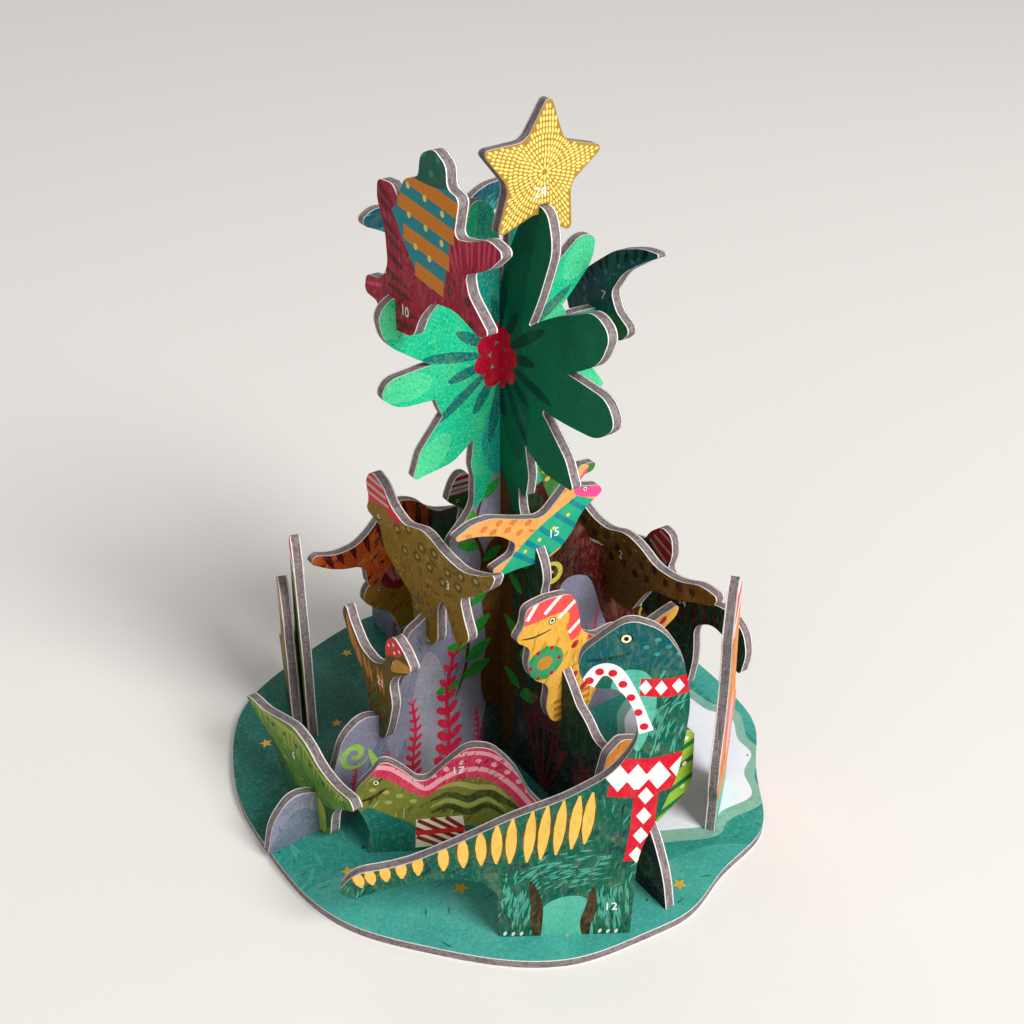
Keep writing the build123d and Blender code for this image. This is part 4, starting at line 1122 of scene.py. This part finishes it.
        ("band", "hat_white", 2.4, [(-2, 87), (14, 88), (32, 90)]),
        ("area", "ground_light", [(10, -2), (10, 6), (40, 8), (72, 5), (72, -2)]),
    ] + eye((12, 82), 1.4),
    "crested_dinosaur": [
        ("fill", "olive_dark"),
        ("area", "raptor_ochre", [(2, 80), (14, 98), (44, 96), (40, 78)]),
        ("ribs", "olive_light", 0.9, 12, [(42, 74), (58, 52), (96, 36)], [(14, 66), (30, 40),
            (80, 26)]),
        ("area", "forest", [(10, -2), (12, 16), (50, 14), (84, 6), (84, -2)]),
        ("dots", "stripe_red", 2.2, 1.6, 0, [(28, 58), (44, 46), (62, 36)]),
    ] + eye((20, 86), 1.3),
    "striding_dinosaur": [
        ("fill", "violet"),
        ("area", "violet_light", [(6, 50), (30, 62), (62, 56), (52, 40), (20, 36)]),
        ("ribs", "raptor_yellow", 1, 10, [(10, 76), (40, 96), (96, 64)], [(16, 62), (42, 74),
            (86, 58)]),
        ("line", "claw", 1, [(4, 3), (18, 3), (32, 3)]),
        ("line", "claw", 1, [(54, 3), (62, 3), (70, 3)]),
    ] + eye((12, 68), 1.2),
    "plated_dinosaur": [
        ("fill", "tall_green"),
        ("area", "stripe_red", [(20, 66), (26, 90), (34, 76), (42, 104), (51, 84), (60, 102), (66, 76),
            (76, 84), (82, 58), (60, 60), (36, 62)]),
        ("ribs", "wing_orange", 0.8, 12, [(26, 82), (42, 94), (60, 92), (76, 76)], [(30, 66), (44, 66),
            (58, 66), (72, 64)]),
        ("dots", "lizard_light", 2.6, 2, 10, [(30, 50), (42, 52), (54, 52), (66, 50), (36, 40),
            (50, 40), (62, 40)]),
        ("area", "snow_rim", [(20, -2), (24, 10), (50, 14), (76, 10), (80, -2)]),
    ] + eye((8, 44), 1.3),
    "hatching_egg": [
        ("fill", "egg"),
        ("area", "lizard", [(24, 62), (26, 86), (40, 104), (66, 98), (72, 70), (60, 60), (40, 60)]),
        ("dots", "soft_teal", 2.2, 1.8, 0, [(20, 40), (40, 30), (62, 42), (82, 36), (30, 16), (56, 14),
            (78, 18), (48, 48)]),
        ("line", "umber", 0.6, [(10, 56), (26, 50), (34, 60), (50, 54), (64, 62), (80, 52), (94, 52)]),
    ] + eye((46, 86), 1.2),
    "curled_dinosaur": [
        ("fill", "teal_ink"),
        ("curl", "ochre", 1.6, (42, 45), 5, 1.4, 0.4),
        ("dots", "teal_shine", 1.6, 1.6, 0, [(22, 66), (46, 84), (70, 40), (20, 24), (86, 50)]),
    ] + eye((88, 56), 1.1),
}

# Each card's number, and where it stands in hundredths of the card
NUMBERS = {
    "star_topper": (24, 47, 33), "flyer_with_gift": (10, 32, 13),
    "teal_flyer": (7, 44, 36), "orange_flyer": (15, 66, 30),
    "teal_back_flyer": (19, 50, 44), "duckbill_with_hat": (3, 66, 62),
    "small_raptor": (21, 54, 50), "long_lizard": (6, 46, 62),
    "raptor_with_wreath": (18, 50, 36), "horned_dinosaur_with_gift": (9, 26, 22),
    "green_dinosaur_with_hat": (14, 50, 60), "spotted_dinosaur": (2, 40, 66),
    "dinosaur_with_bobble_hat": (22, 40, 52), "humped_dinosaur": (11, 52, 68),
    "frilled_dinosaur": (5, 62, 70), "sail_back_with_gift": (17, 55, 79),
    "long_neck_with_scarf": (12, 81, 10), "tall_orange_dinosaur": (1, 42, 16),
    "tall_green_dinosaur": (20, 40, 18), "crested_dinosaur": (8, 40, 24),
    "striding_dinosaur": (23, 36, 72), "plated_dinosaur": (13, 48, 28),
    "hatching_egg": (4, 48, 22), "curled_dinosaur": (16, 24, 44),
}

CARDS = {}


def make_cards():
    """Every board with its directions."""
    if CARDS:
        return
    CARDS["base_plate"] = Card("base_plate", (1, 0, 0), (0, 1, 0), (0, 0, 1))
    for node in FACING_LEFT:
        CARDS[node] = Card(node, (0, -1, 0), (0, 0, 1), (-1, 0, 0))
    for node in FACING_FRONT:
        CARDS[node] = Card(node, (1, 0, 0), (0, 0, 1), (0, -1, 0))
    for node, turn in STANDING_TURNS.items():
        c, s = math.cos(math.radians(turn)), math.sin(math.radians(turn))
        CARDS[node] = Card(node, (c, s, 0), (0, 0, 1), (s, -c, 0))


# Ornaments that repeat, made with Geometry Nodes

def leaflet_tree():
    """A fern: leaflets in pairs along a stem, shorter towards its tip."""
    tree, given = new_group("fern_leaflets", "Geometry", {
        "Stem": "Geometry", "Spacing": 2.0, "Leaflet Length": 4.0, "Leaflet Width": 1.1,
        "Lean": 0.75, "Stem Width": 0.8, "Thickness": 0.02, "Ink": "Material"},
        {"Geometry": "Geometry"})
    curve = put(tree, "GeometryNodeMeshToCurve", (-700, 0), {0: given["Stem"]}).outputs[0]
    even = put(tree, "GeometryNodeResampleCurve", (-500, 0), {"Curve": curve}, mode="LENGTH")
    tree.links.new(given["Spacing"], even.inputs["Length"])
    along = put(tree, "GeometryNodeSplineParameter", (-700, -250)).outputs["Factor"]
    tangent = put(tree, "GeometryNodeInputTangent", (-700, -400)).outputs[0]
    scale = put(tree, "ShaderNodeMapRange", (-500, -250),
                {"Value": along, "From Min": 0.0, "From Max": 1.0, "To Min": 1.0,
                 "To Max": 0.45}).outputs[0]
    leaf = put(tree, "GeometryNodeMeshCylinder", (-500, 300),
               {"Vertices": 8, "Radius": 0.5, "Depth": 1.0}).outputs[0]
    size = put(tree, "ShaderNodeCombineXYZ", (-500, 500), {
        "X": given["Leaflet Width"], "Y": given["Leaflet Length"], "Z": given["Thickness"]})
    half = sums(tree, "MULTIPLY", given["Leaflet Length"], 0.5, (-500, 650))
    away = put(tree, "ShaderNodeCombineXYZ", (-350, 650), {"Y": half})
    leaf = put(tree, "GeometryNodeTransform", (-300, 300), {
        "Geometry": leaf, "Scale": size.outputs[0], "Translation": away.outputs[0]}).outputs[0]
    parts = []
    for side in (1, -1):
        turn = put(tree, "FunctionNodeAlignRotationToVector", (-300, -300 * side),
                   {"Vector": tangent}, axis="Y")
        lean = put(tree, "ShaderNodeCombineXYZ", (-300, -450 * side), {
            "Z": sums(tree, "MULTIPLY", given["Lean"], float(side), (-450, -450 * side))})
        turned = put(tree, "FunctionNodeRotateRotation", (-100, -300 * side),
                     {0: turn.outputs[0], 1: lean.outputs[0]}, rotation_space="LOCAL")
        placed = put(tree, "GeometryNodeInstanceOnPoints", (100, -200 * side), {
            "Points": even.outputs[0], "Instance": leaf, "Rotation": turned.outputs[0],
            "Scale": scale})
        parts.append(placed.outputs[0])
    profile = put(tree, "GeometryNodeCurvePrimitiveQuadrilateral", (-300, 800), {
        "Width": given["Stem Width"], "Height": given["Thickness"]}).outputs[0]
    stem = put(tree, "GeometryNodeCurveToMesh", (-100, 800), {
        "Curve": even.outputs[0], "Profile Curve": profile, "Fill Caps": True}).outputs[0]
    finish_tree(tree, parts + [stem], given["Ink"])
    return tree


def mark_tree():
    """Small flat shapes set on marks, turned and sized a little differently."""
    tree, given = new_group("shapes_on_marks", "Geometry", {
        "Marks": "Geometry", "Size": 4.0, "Size Spread": 0.2, "Turn Spread": 0.6,
        "Inner Share": 0.45, "Thickness": 0.02, "Seed": 5, "Ink": "Material"},
        {"Geometry": "Geometry"})
    outer = sums(tree, "MULTIPLY", given["Size"], 0.5, (-700, 300))
    inner = sums(tree, "MULTIPLY", outer, given["Inner Share"], (-550, 300))
    star = put(tree, "GeometryNodeCurveStar", (-400, 300), {
        "Points": 5, "Inner Radius": inner, "Outer Radius": outer}).outputs[0]
    flat = put(tree, "GeometryNodeFillCurve", (-200, 300), {0: star}).outputs[0]
    raised = put(tree, "GeometryNodeExtrudeMesh", (0, 400), {
        "Mesh": flat, "Offset Scale": given["Thickness"], "Individual": False}).outputs[0]
    under = put(tree, "GeometryNodeFlipFaces", (0, 200), {"Mesh": flat}).outputs[0]
    solid = put(tree, "GeometryNodeJoinGeometry", (200, 300))
    tree.links.new(raised, solid.inputs[0])
    tree.links.new(under, solid.inputs[0])
    solid = put(tree, "GeometryNodeMergeByDistance", (350, 300),
                {"Geometry": solid.outputs[0], "Distance": 0.001}).outputs[0]
    points = put(tree, "GeometryNodeMeshToPoints", (-400, 0), {"Mesh": given["Marks"]}).outputs[0]
    low = sums(tree, "SUBTRACT", 1.0, given["Size Spread"], (-400, -200))
    scale = put(tree, "FunctionNodeRandomValue", (-200, -200), {
        2: low, 3: 1.0, "Seed": given["Seed"]}, data_type="FLOAT").outputs[1]
    less = sums(tree, "MULTIPLY", given["Turn Spread"], -1.0, (-400, -400))
    turn = put(tree, "FunctionNodeRandomValue", (-200, -400), {
        2: less, 3: given["Turn Spread"], "Seed": given["Seed"]}, data_type="FLOAT").outputs[1]
    around = put(tree, "ShaderNodeCombineXYZ", (0, -400), {"Z": turn}).outputs[0]
    placed = put(tree, "GeometryNodeInstanceOnPoints", (500, 0), {
        "Points": points, "Instance": solid, "Rotation": around, "Scale": scale}).outputs[0]
    finish_tree(tree, [placed], given["Ink"])
    return tree


def dash_tree():
    """Short dashes on marks, each pointing away from the middle."""
    tree, given = new_group("dashes_from_the_middle", "Geometry", {
        "Marks": "Geometry", "Middle": "Vector", "Dash Length": 1.6, "Dash Width": 0.6,
        "Length Spread": 0.35, "Thickness": 0.02, "Seed": 3, "Ink": "Material"},
        {"Geometry": "Geometry"})
    dash = put(tree, "GeometryNodeMeshCylinder", (-500, 300),
               {"Vertices": 8, "Radius": 0.5, "Depth": 1.0}).outputs[0]
    size = put(tree, "ShaderNodeCombineXYZ", (-500, 500), {
        "X": given["Dash Width"], "Y": given["Dash Length"], "Z": given["Thickness"]})
    dash = put(tree, "GeometryNodeTransform", (-300, 300), {
        "Geometry": dash, "Scale": size.outputs[0]}).outputs[0]
    points = put(tree, "GeometryNodeMeshToPoints", (-400, 0), {"Mesh": given["Marks"]}).outputs[0]
    place = put(tree, "GeometryNodeInputPosition", (-700, -200)).outputs[0]
    out = vectors(tree, "SUBTRACT", {0: place, 1: given["Middle"]}, (-500, -200))
    turn = put(tree, "FunctionNodeAlignRotationToVector", (-300, -200), {"Vector": out}, axis="Y")
    low = sums(tree, "SUBTRACT", 1.0, given["Length Spread"], (-500, -400))
    long_way = put(tree, "FunctionNodeRandomValue", (-300, -400), {
        2: low, 3: 1.0, "Seed": given["Seed"]}, data_type="FLOAT").outputs[1]
    scale = put(tree, "ShaderNodeCombineXYZ", (-100, -400), {"X": 1.0, "Y": long_way, "Z": 1.0})
    placed = put(tree, "GeometryNodeInstanceOnPoints", (100, 0), {
        "Points": points, "Instance": dash, "Rotation": turn.outputs[0],
        "Scale": scale.outputs[0]}).outputs[0]
    finish_tree(tree, [placed], given["Ink"])
    return tree


def finish_tree(tree, parts, ink):
    """Joins the parts, realizes the instances and gives them their ink."""
    joined = put(tree, "GeometryNodeJoinGeometry", (500, 0))
    for part in parts:
        tree.links.new(part, joined.inputs[0])
    real = put(tree, "GeometryNodeRealizeInstances", (650, 0), {0: joined.outputs[0]})
    inked = put(tree, "GeometryNodeSetMaterial", (800, 0),
                {"Geometry": real.outputs[0], "Material": ink})
    put(tree, "NodeGroupOutput", (1000, 0), {"Geometry": inked.outputs[0]})


def grown(tree, points, edges, values, ink):
    """The plain mesh that a tree makes from points and edges in a card's plane."""
    values = dict(values, Ink=print_material(INKS[ink][0]))
    seed_mesh = bpy.data.meshes.new("marks")
    seed_mesh.from_pydata([(x, y, 0) for x, y in points], edges, [])
    seed = bpy.data.objects.new("marks", seed_mesh)
    bpy.context.scene.collection.objects.link(seed)
    modifier = seed.modifiers.new("grow", "NODES")
    modifier.node_group = tree
    for item in tree.interface.items_tree:
        if item.item_type == "SOCKET" and item.in_out == "INPUT" and item.name in values:
            modifier[item.identifier] = values[item.name]
    bpy.context.view_layer.update()
    evaluated = seed.evaluated_get(bpy.context.evaluated_depsgraph_get())
    mesh = bpy.data.meshes.new_from_object(evaluated)
    seed.modifiers.remove(modifier)
    bpy.data.objects.remove(seed)
    return mesh


def join_meshes(name, meshes):
    """One mesh out of several that share their first material."""
    whole = bmesh.new()
    for mesh in meshes:
        whole.from_mesh(mesh)
    joined = bpy.data.meshes.new(name)
    whole.to_mesh(joined)
    whole.free()
    for material in meshes[0].materials:
        joined.materials.append(material)
    return joined


def ink_whole(mesh, ink):
    """The whole mesh in one ink. Its tree has set its material, but letters have none yet."""
    if not mesh.materials:
        mesh.materials.append(print_material(INKS[ink][0]))
    colour = tuple(getattr(bpy.context.scene.calendar_inks, ink)) + (1.0,)
    layer = mesh.color_attributes.new("Ink", "FLOAT_COLOR", "CORNER")
    layer.data.foreach_set("color", np.tile(colour, len(mesh.loops)))


def laid_on(card, mesh, side=1):
    """A flat ornament laid over the paper on the card's front, or mirrored on its back."""
    sizes = bpy.context.scene.calendar_sizes
    rise = sizes.paper_gap + sizes.paper_thickness + sizes.ink_thickness * 0.6
    if side > 0:
        mesh.transform(card.matrix(card.front + rise))
    else:
        mesh.transform(card.matrix(card.back - rise) @ Matrix.Diagonal((1, 1, -1, 1)))
        mesh.flip_normals()
    return mesh


class CALENDAR_OT_boards(bpy.types.Operator):
    """Give the cut edges of every board their layered grey"""
    bl_idname = "calendar.boards"
    bl_label = "Greyboard Edges"

    def execute(self, context):
        make_cards()
        for node, card in CARDS.items():
            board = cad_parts[node]
            board.data.materials.clear()
            board.data.materials.append(edge_material(card))
        return {"FINISHED"}


class CALENDAR_OT_print_uprights(bpy.types.Operator):
    """Print the palm tree and its rocks on the two uprights"""
    bl_idname = "calendar.print_uprights"
    bl_label = "Print Uprights"

    def execute(self, context):
        make_cards()
        paper_sheet(CARDS["upright_left_front"], left_upright_design())
        paper_sheet(CARDS["upright_right_front"], right_upright_design())
        return {"FINISHED"}


class CALENDAR_OT_print_base(bpy.types.Operator):
    """Print the ground and the snow on top of the base"""
    bl_idname = "calendar.print_base"
    bl_label = "Print Base"

    def execute(self, context):
        make_cards()
        paper_sheet(CARDS["base_plate"], base_design(), both_sides=False)
        return {"FINISHED"}


class CALENDAR_OT_print_figures(bpy.types.Operator):
    """Print the twenty-four calendar pieces on both sides"""
    bl_idname = "calendar.print_figures"
    bl_label = "Print Figures"

    def execute(self, context):
        make_cards()
        for node, design in FIGURES.items():
            plain = node == "star_topper"
            paper_sheet(CARDS[node], design if plain else painted(node, design))
        return {"FINISHED"}


class CALENDAR_OT_star_dashes(bpy.types.Operator):
    """Lay golden dashes round the middle of the star"""
    bl_idname = "calendar.star_dashes"
    bl_label = "Star Dashes"

    def execute(self, context):
        make_cards()
        sizes = context.scene.calendar_sizes
        card = CARDS["star_topper"]
        outline = card.outline
        off_centre = np.array((0.2, -0.6))
        middle = (card.low + card.high) / 2 + off_centre
        step = sizes.dash_length / MM
        rings, ring_gap, dash_gap = 19, 0.88, 1.3
        marks = []
        for ring in range(1, rings + 1):
            reach = ring * step * ring_gap
            count = max(6, round(2 * math.pi * reach / (sizes.dash_width / MM * dash_gap)))
            for k in range(count):
                angle = (k + 0.5 * (ring % 2)) * 2 * math.pi / count
                way = np.array((math.cos(angle), math.sin(angle)))
                across = np.array((-way[1], way[0])) * sizes.dash_width / MM * 0.5
                spot = middle + reach * way
                ends = [spot + way * step * 0.5, spot - way * step * 0.5, spot + across,
                        spot - across]
                if winding(np.array(ends), outline).all():
                    marks.append(tuple(spot))
        values = {"Dash Length": sizes.dash_length / MM, "Dash Width": sizes.dash_width / MM,
                  "Middle": tuple(middle) + (0,), "Thickness": sizes.ink_thickness / MM}
        tree = dash_tree()
        mesh = join_meshes("star_dashes", [
            laid_on(card, grown(tree, marks, [], values, "gold_dash"), side)
            for side in (1, -1)])
        ink_whole(mesh, "gold_dash")
        add_piece("star_dashes", mesh)
        return {"FINISHED"}


class CALENDAR_OT_ground_stars(bpy.types.Operator):
    """Scatter small golden stars over the base"""
    bl_idname = "calendar.ground_stars"
    bl_label = "Ground Stars"

    def execute(self, context):
        make_cards()
        sizes = context.scene.calendar_sizes
        card = CARDS["base_plate"]
        marks = [(-52, -16), (-34, -34), (-22, -57), (6, -60), (57, 2), (-57, 8),
                 (-48, 33), (-30, 30), (-14, 54), (12, 58), (40, 14), (46, 34), (22, 12)]
        reach = sizes.ground_star / MM * 0.6
        marks = [m for m in marks if winding(np.array(
            [(m[0] + reach * x, m[1] + reach * y) for x in (-1, 1) for y in (-1, 1)]),
            card.outline).all()]
        values = {"Size": sizes.ground_star / MM, "Thickness": sizes.ink_thickness / MM}
        mesh = laid_on(card, grown(mark_tree(), marks, [], values, "gold_star"))
        ink_whole(mesh, "gold_star")
        add_piece("ground_stars", mesh)
        return {"FINISHED"}


class CALENDAR_OT_rock_ferns(bpy.types.Operator):
    """Grow red ferns over the rocks"""
    bl_idname = "calendar.rock_ferns"
    bl_label = "Rock Ferns"

    def execute(self, context):
        make_cards()
        sizes = context.scene.calendar_sizes
        tree = leaflet_tree()
        # Each upright's ink and its stems, with spacing, length and width of the leaflets
        ferns = {
            "upright_left_front": ("fern_red", (
                ([(-17, 2), (-16, 13), (-16.5, 24), (-14.5, 34)], 4.0, 5.6, 2.8),
                ([(-26.5, 3), (-26, 10), (-25, 17), (-25.5, 25)], 2.6, 3.6, 1.5),
                ([(-8.5, 3), (-8, 9), (-8.5, 16)], 1.7, 2.6, 0.7),
                ([(-33, 2), (-33.5, 8), (-32.5, 14)], 1.7, 2.4, 0.7),
                ([(47, 2), (46, 8), (47, 14)], 1.8, 2.8, 0.8),
                ([(-43, 3), (-42, 8), (-41, 13)], 1.8, 2.2, 0.7))),
            # Darker fern red on the right upright: painted shade
            "upright_right_front": ("fern_dark", (
                ([(46, 3), (47, 9), (46, 16)], 1.9, 2.8, 0.8),
                ([(-36, 2), (-35, 8), (-36, 14)], 1.8, 2.8, 0.8),
                ([(-50, 2), (-50, 7), (-49, 12)], 1.8, 2.4, 0.7))),
        }
        for node, (ink, stems) in ferns.items():
            card, meshes = CARDS[node], []
            for points, spacing, length, width in stems:
                path = smooth_path([card.spot(p) for p in points], False)
                edges = [(k, k + 1) for k in range(len(path) - 1)]
                values = {"Spacing": spacing, "Leaflet Length": length, "Leaflet Width": width,
                          "Stem Width": 0.4 + width * 0.2, "Thickness": sizes.ink_thickness / MM}
                for side in (1, -1):
                    fern = grown(tree, [tuple(p) for p in path], edges, values, ink)
                    meshes.append(laid_on(card, fern, side))
            mesh = join_meshes("ferns_" + node, meshes)
            ink_whole(mesh, ink)
            add_piece("ferns_" + node, mesh)
        return {"FINISHED"}


class CALENDAR_OT_numbers(bpy.types.Operator):
    """Print a small plain number on each calendar piece"""
    bl_idname = "calendar.numbers"
    bl_label = "Numbers"

    def execute(self, context):
        make_cards()
        sizes = context.scene.calendar_sizes
        meshes = []
        size_over_height = 1.35
        for node, (number, u, v) in NUMBERS.items():
            card = CARDS[node]
            text = bpy.data.curves.new("number", "FONT")
            text.body = str(number)
            text.size = sizes.number_height / MM * size_over_height
            text.align_x = text.align_y = "CENTER"
            text.extrude = sizes.ink_thickness / MM
            text.resolution_u = 3
            holder = bpy.data.objects.new("number", text)
            context.scene.collection.objects.link(holder)
            context.view_layer.update()
            mesh = bpy.data.meshes.new_from_object(
                holder.evaluated_get(context.evaluated_depsgraph_get()))
            bpy.data.objects.remove(holder)
            spot = card.spot((u, v))
            mesh.transform(Matrix.Translation((spot.x, spot.y, sizes.ink_thickness / MM)))
            meshes.append(laid_on(card, mesh))
        mesh = join_meshes("printed_numbers", meshes)
        ink_whole(mesh, "number_white")
        add_piece("printed_numbers", mesh)
        return {"FINISHED"}


class CALENDAR_OT_studio(bpy.types.Operator):
    """Set up the pale floor, the lamps and the camera"""
    bl_idname = "calendar.studio"
    bl_label = "Studio"

    def execute(self, context):
        scene = context.scene
        studio = scene.calendar_studio
        floor_mesh = bpy.data.meshes.new("floor")
        reach = 5
        floor_mesh.from_pydata([(-reach, -reach, 0), (reach, -reach, 0), (reach, reach, 0),
                                (-reach, reach, 0)], [], [(0, 1, 2, 3)])
        floor = bpy.data.objects.new("floor", floor_mesh)
        scene.collection.objects.link(floor)
        material, tree, shader = new_material("floor_paint")
        place = put(tree, "ShaderNodeTexCoord", (-600, 0))
        grain = noise(tree, place.outputs["Object"], 900.0, 2.0, (-400, 0))[0]
        base = tuple(studio.floor_colour) + (1,)
        shade = tuple(c * 0.97 for c in studio.floor_colour) + (1,)
        tree.links.new(mixed(tree, grain, base, shade, (0, 0)), shader.inputs["Base Color"])
        shader.inputs["Roughness"].default_value = 0.8
        floor_mesh.materials.append(material)
        lit_spot = Vector((0, 0, 0.06))
        for name, place, size, power in (
                ("key", (0.34, -1.62, 1.40), 1.1, studio.key_power),
                ("fill", (-1.30, -0.60, 1.00), 1.2, studio.fill_power),
                ("back", (0.30, 1.40, 1.20), 1.0, studio.fill_power * 1.6)):
            lamp = bpy.data.lights.new(name, "AREA")
            lamp.shape, lamp.size, lamp.energy = "DISK", size, power
            holder = bpy.data.objects.new(name, lamp)
            holder.location = place
            aim = lit_spot - Vector(place)
            holder.rotation_euler = aim.to_track_quat("-Z", "Y").to_euler()
            scene.collection.objects.link(holder)
        world = bpy.data.worlds.new("room")
        world.use_nodes = True
        world.node_tree.nodes["Background"].inputs[0].default_value = (1, 0.99, 0.97, 1)
        world.node_tree.nodes["Background"].inputs[1].default_value = studio.sky
        scene.world = world
        camera = bpy.data.cameras.new("camera")
        camera.sensor_width, camera.lens = CAMERA_SENSOR, CAMERA_LENS
        camera.clip_start, camera.clip_end = 0.01, 20
        holder = bpy.data.objects.new("camera", camera)
        holder.location = CAMERA_PLACE
        holder.rotation_euler = Vector(CAMERA_WAY).to_track_quat("-Z", "Y").to_euler()
        scene.collection.objects.link(holder)
        scene.camera = holder
        scene.view_settings.view_transform = "Standard"
        return {"FINISHED"}


class CALENDAR_PT_panel(bpy.types.Panel):
    """Calendar tools"""
    bl_idname = "CALENDAR_PT_panel"
    bl_label = "Slotted Board Calendar"
    bl_space_type = "VIEW_3D"
    bl_region_type = "UI"
    bl_category = "Calendar"

    def draw(self, context):
        layout = self.layout
        for operator in OPERATORS:
            layout.operator(operator.bl_idname)
        for group in (context.scene.calendar_sizes, context.scene.calendar_studio):
            box = layout.box()
            for key in group.__annotations__:
                box.prop(group, key)


OPERATORS = (
    CALENDAR_OT_boards, CALENDAR_OT_print_uprights, CALENDAR_OT_print_base,
    CALENDAR_OT_print_figures, CALENDAR_OT_star_dashes, CALENDAR_OT_ground_stars,
    CALENDAR_OT_rock_ferns, CALENDAR_OT_numbers, CALENDAR_OT_studio,
)
CLASSES = (CalendarInks, CalendarSizes, CalendarStudio) + OPERATORS + (CALENDAR_PT_panel,)


def register():
    for entry in CLASSES:
        bpy.utils.register_class(entry)
    bpy.types.Scene.calendar_inks = bpy.props.PointerProperty(type=CalendarInks)
    bpy.types.Scene.calendar_sizes = bpy.props.PointerProperty(type=CalendarSizes)
    bpy.types.Scene.calendar_studio = bpy.props.PointerProperty(type=CalendarStudio)


def unregister():
    del bpy.types.Scene.calendar_studio
    del bpy.types.Scene.calendar_sizes
    del bpy.types.Scene.calendar_inks
    for entry in reversed(CLASSES):
        bpy.utils.unregister_class(entry)


def main():
    register()
    for operator in OPERATORS:
        group, name = operator.bl_idname.split(".")
        getattr(getattr(bpy.ops, group), name)()


if __name__ == "__main__":
    main()
